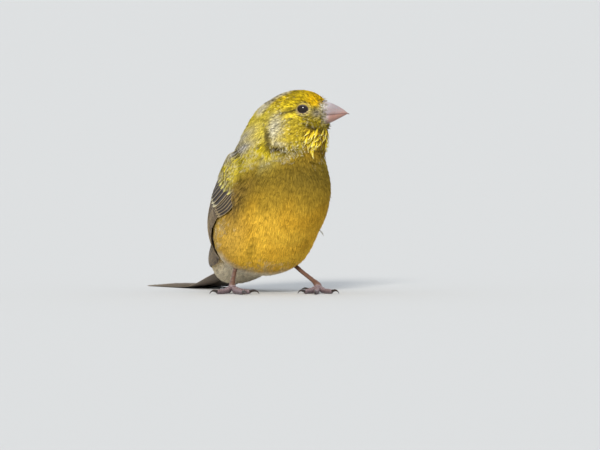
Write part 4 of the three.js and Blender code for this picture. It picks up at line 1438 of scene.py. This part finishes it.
def add_limb(name, line, radius, flat, front, ground, scutes, pads, sink=None):
    """A bar along a line, with plates that overlap over its front, and pads on its other side."""
    steps = len(line)
    way = unit(np.gradient(line, axis=0))
    side = unit(np.cross(way, np.broadcast_to(front, way.shape)))
    face = np.cross(side, way)
    share = np.linspace(0, 1, steps)[:, None]
    turn = np.linspace(0, 2 * np.pi, LIMB_AROUND, endpoint=False)
    before = np.clip(np.sin(turn), 0, 1) ** 0.6
    plate = (share * scutes) % 1.0
    raised = ramp(plate, 0.0, 0.75) * (1 - ramp(plate, 0.9, 1.0))
    girth = radius(share) * (1 + (0.24 if pads else 0.1) * (raised - 0.5) * before * (scutes > 0))
    lobes = 0.5 + 0.5 * np.cos(2 * np.pi * pads * (1 - share))
    girth = girth * (1 + 0.16 * (lobes - 0.4) * np.clip(-np.sin(turn), 0, 1))
    points = line[:, None] + side[:, None] * (girth * np.cos(turn) * flat)[..., None]
    points = points + face[:, None] * (girth * np.sin(turn))[..., None]
    if sink is not None:
        points[..., 2] = np.maximum(points[..., 2], sink)
    ends = np.stack([line[0] - way[0] * 0.3 * girth[0, 0], line[-1] + way[-1] * 0.55 * girth[-1, 0]])
    if sink is not None:
        ends[:, 2] = np.maximum(ends[:, 2], sink + 0.2)
    piece = add_tube(name, np.concatenate([points.reshape(-1, 3), ends]), steps, LIMB_AROUND)
    # painted shade in the grooves between scutes, most on the front
    groove_shade = (1 - ramp(plate, 0.0, 0.16)) * (0.35 + 0.65 * before)
    layers = [
        (SCUTE_PALE, (0.55 if pads else 0.15) * (raised * before).ravel() * (scutes > 0)),
        (CREASE_SHADE, 0.7 * groove_shade.ravel() * (scutes > 0)),
    ]
    colours = layered(np.tile(ground, (steps * LIMB_AROUND, 1)), layers)
    add_colours(piece.data, "scute_colour", np.concatenate([colours, colours[:1], colours[-1:]]))
    piece.data.materials.append(scute_finish)
    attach(piece, "root")
    return piece


for side_name, (ankle, foot, headings) in LEGS.items():
    ankle, foot = np.array(ankle), np.array(foot)
    straight = curve_through([ankle, (ankle + foot) / 2 + (0, 0.25, 0), foot, foot - (0, 0, 0.9)], 110)
    run = np.linalg.norm(foot - ankle)
    front = unit(np.array([foot[0] * 0.2, -1.0, 0.15]))
    tarsus = add_limb(
        f"shank_{side_name}",
        straight,
        lambda t: TARSUS_RADIUS * (0.98 - 0.12 * np.sin(np.pi * t) + 0.5 * ramp(t, 0.8, 0.97)),
        0.82,
        front,
        SHANK_BROWN,
        round(run / SCUTE_LONG / 1.7),
        0,
    )
    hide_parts(f"tarsus_{side_name}")
    for (toe_name, (long, pads, claw_long)), heading in zip(TOES.items(), headings):
        heading = math.radians(heading)
        ahead = np.array([math.sin(heading), -math.cos(heading), 0])
        rest = 0.84 * TOE_RADIUS

        def out(distance, height):
            return np.array([foot[0], foot[1], 0]) + ahead * distance + UP * height

        def toe_radius(share):
            swell = 1 + 0.07 * np.cos(2 * np.pi * pads * (1 - share))
            return TOE_RADIUS * (1.02 - 0.2 * share - 0.3 * ramp(share, 0.9, 1)) * swell

        line = [out(TOE_START * 0.2, FOOT_HEIGHT - 0.5), out(TOE_FALL, rest + 0.25)]
        line = curve_through([*line, out(long * 0.6, rest), out(long, rest + 0.05)], 90)
        toe = add_limb(
            f"toe_{toe_name}_{side_name}",
            line,
            toe_radius,
            0.92,
            UP,
            TOE_GREY,
            round(long / SCUTE_LONG),
            pads,
            sink=0.0,
        )
        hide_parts(f"toe_{side_name}_{toe_name}")
        hook = [out(long - 0.5, 0.95), out(long + 0.5 * claw_long, 1.35)]
        hook = curve_through([*hook, out(long + 0.85 * claw_long, 0.95), out(long + claw_long, 0.32)], 40)
        claw = add_limb(
            f"claw_{toe_name}_{side_name}",
            hook,
            lambda t: CLAW_RADIUS * (1.15 - 0.95 * t**1.2),
            0.72,
            UP,
            CLAW_DARK,
            0,
            0,
            sink=0.0,
        )
        claw.data.materials[0] = claw_finish
        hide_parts(f"claw_{side_name}_{toe_name}")
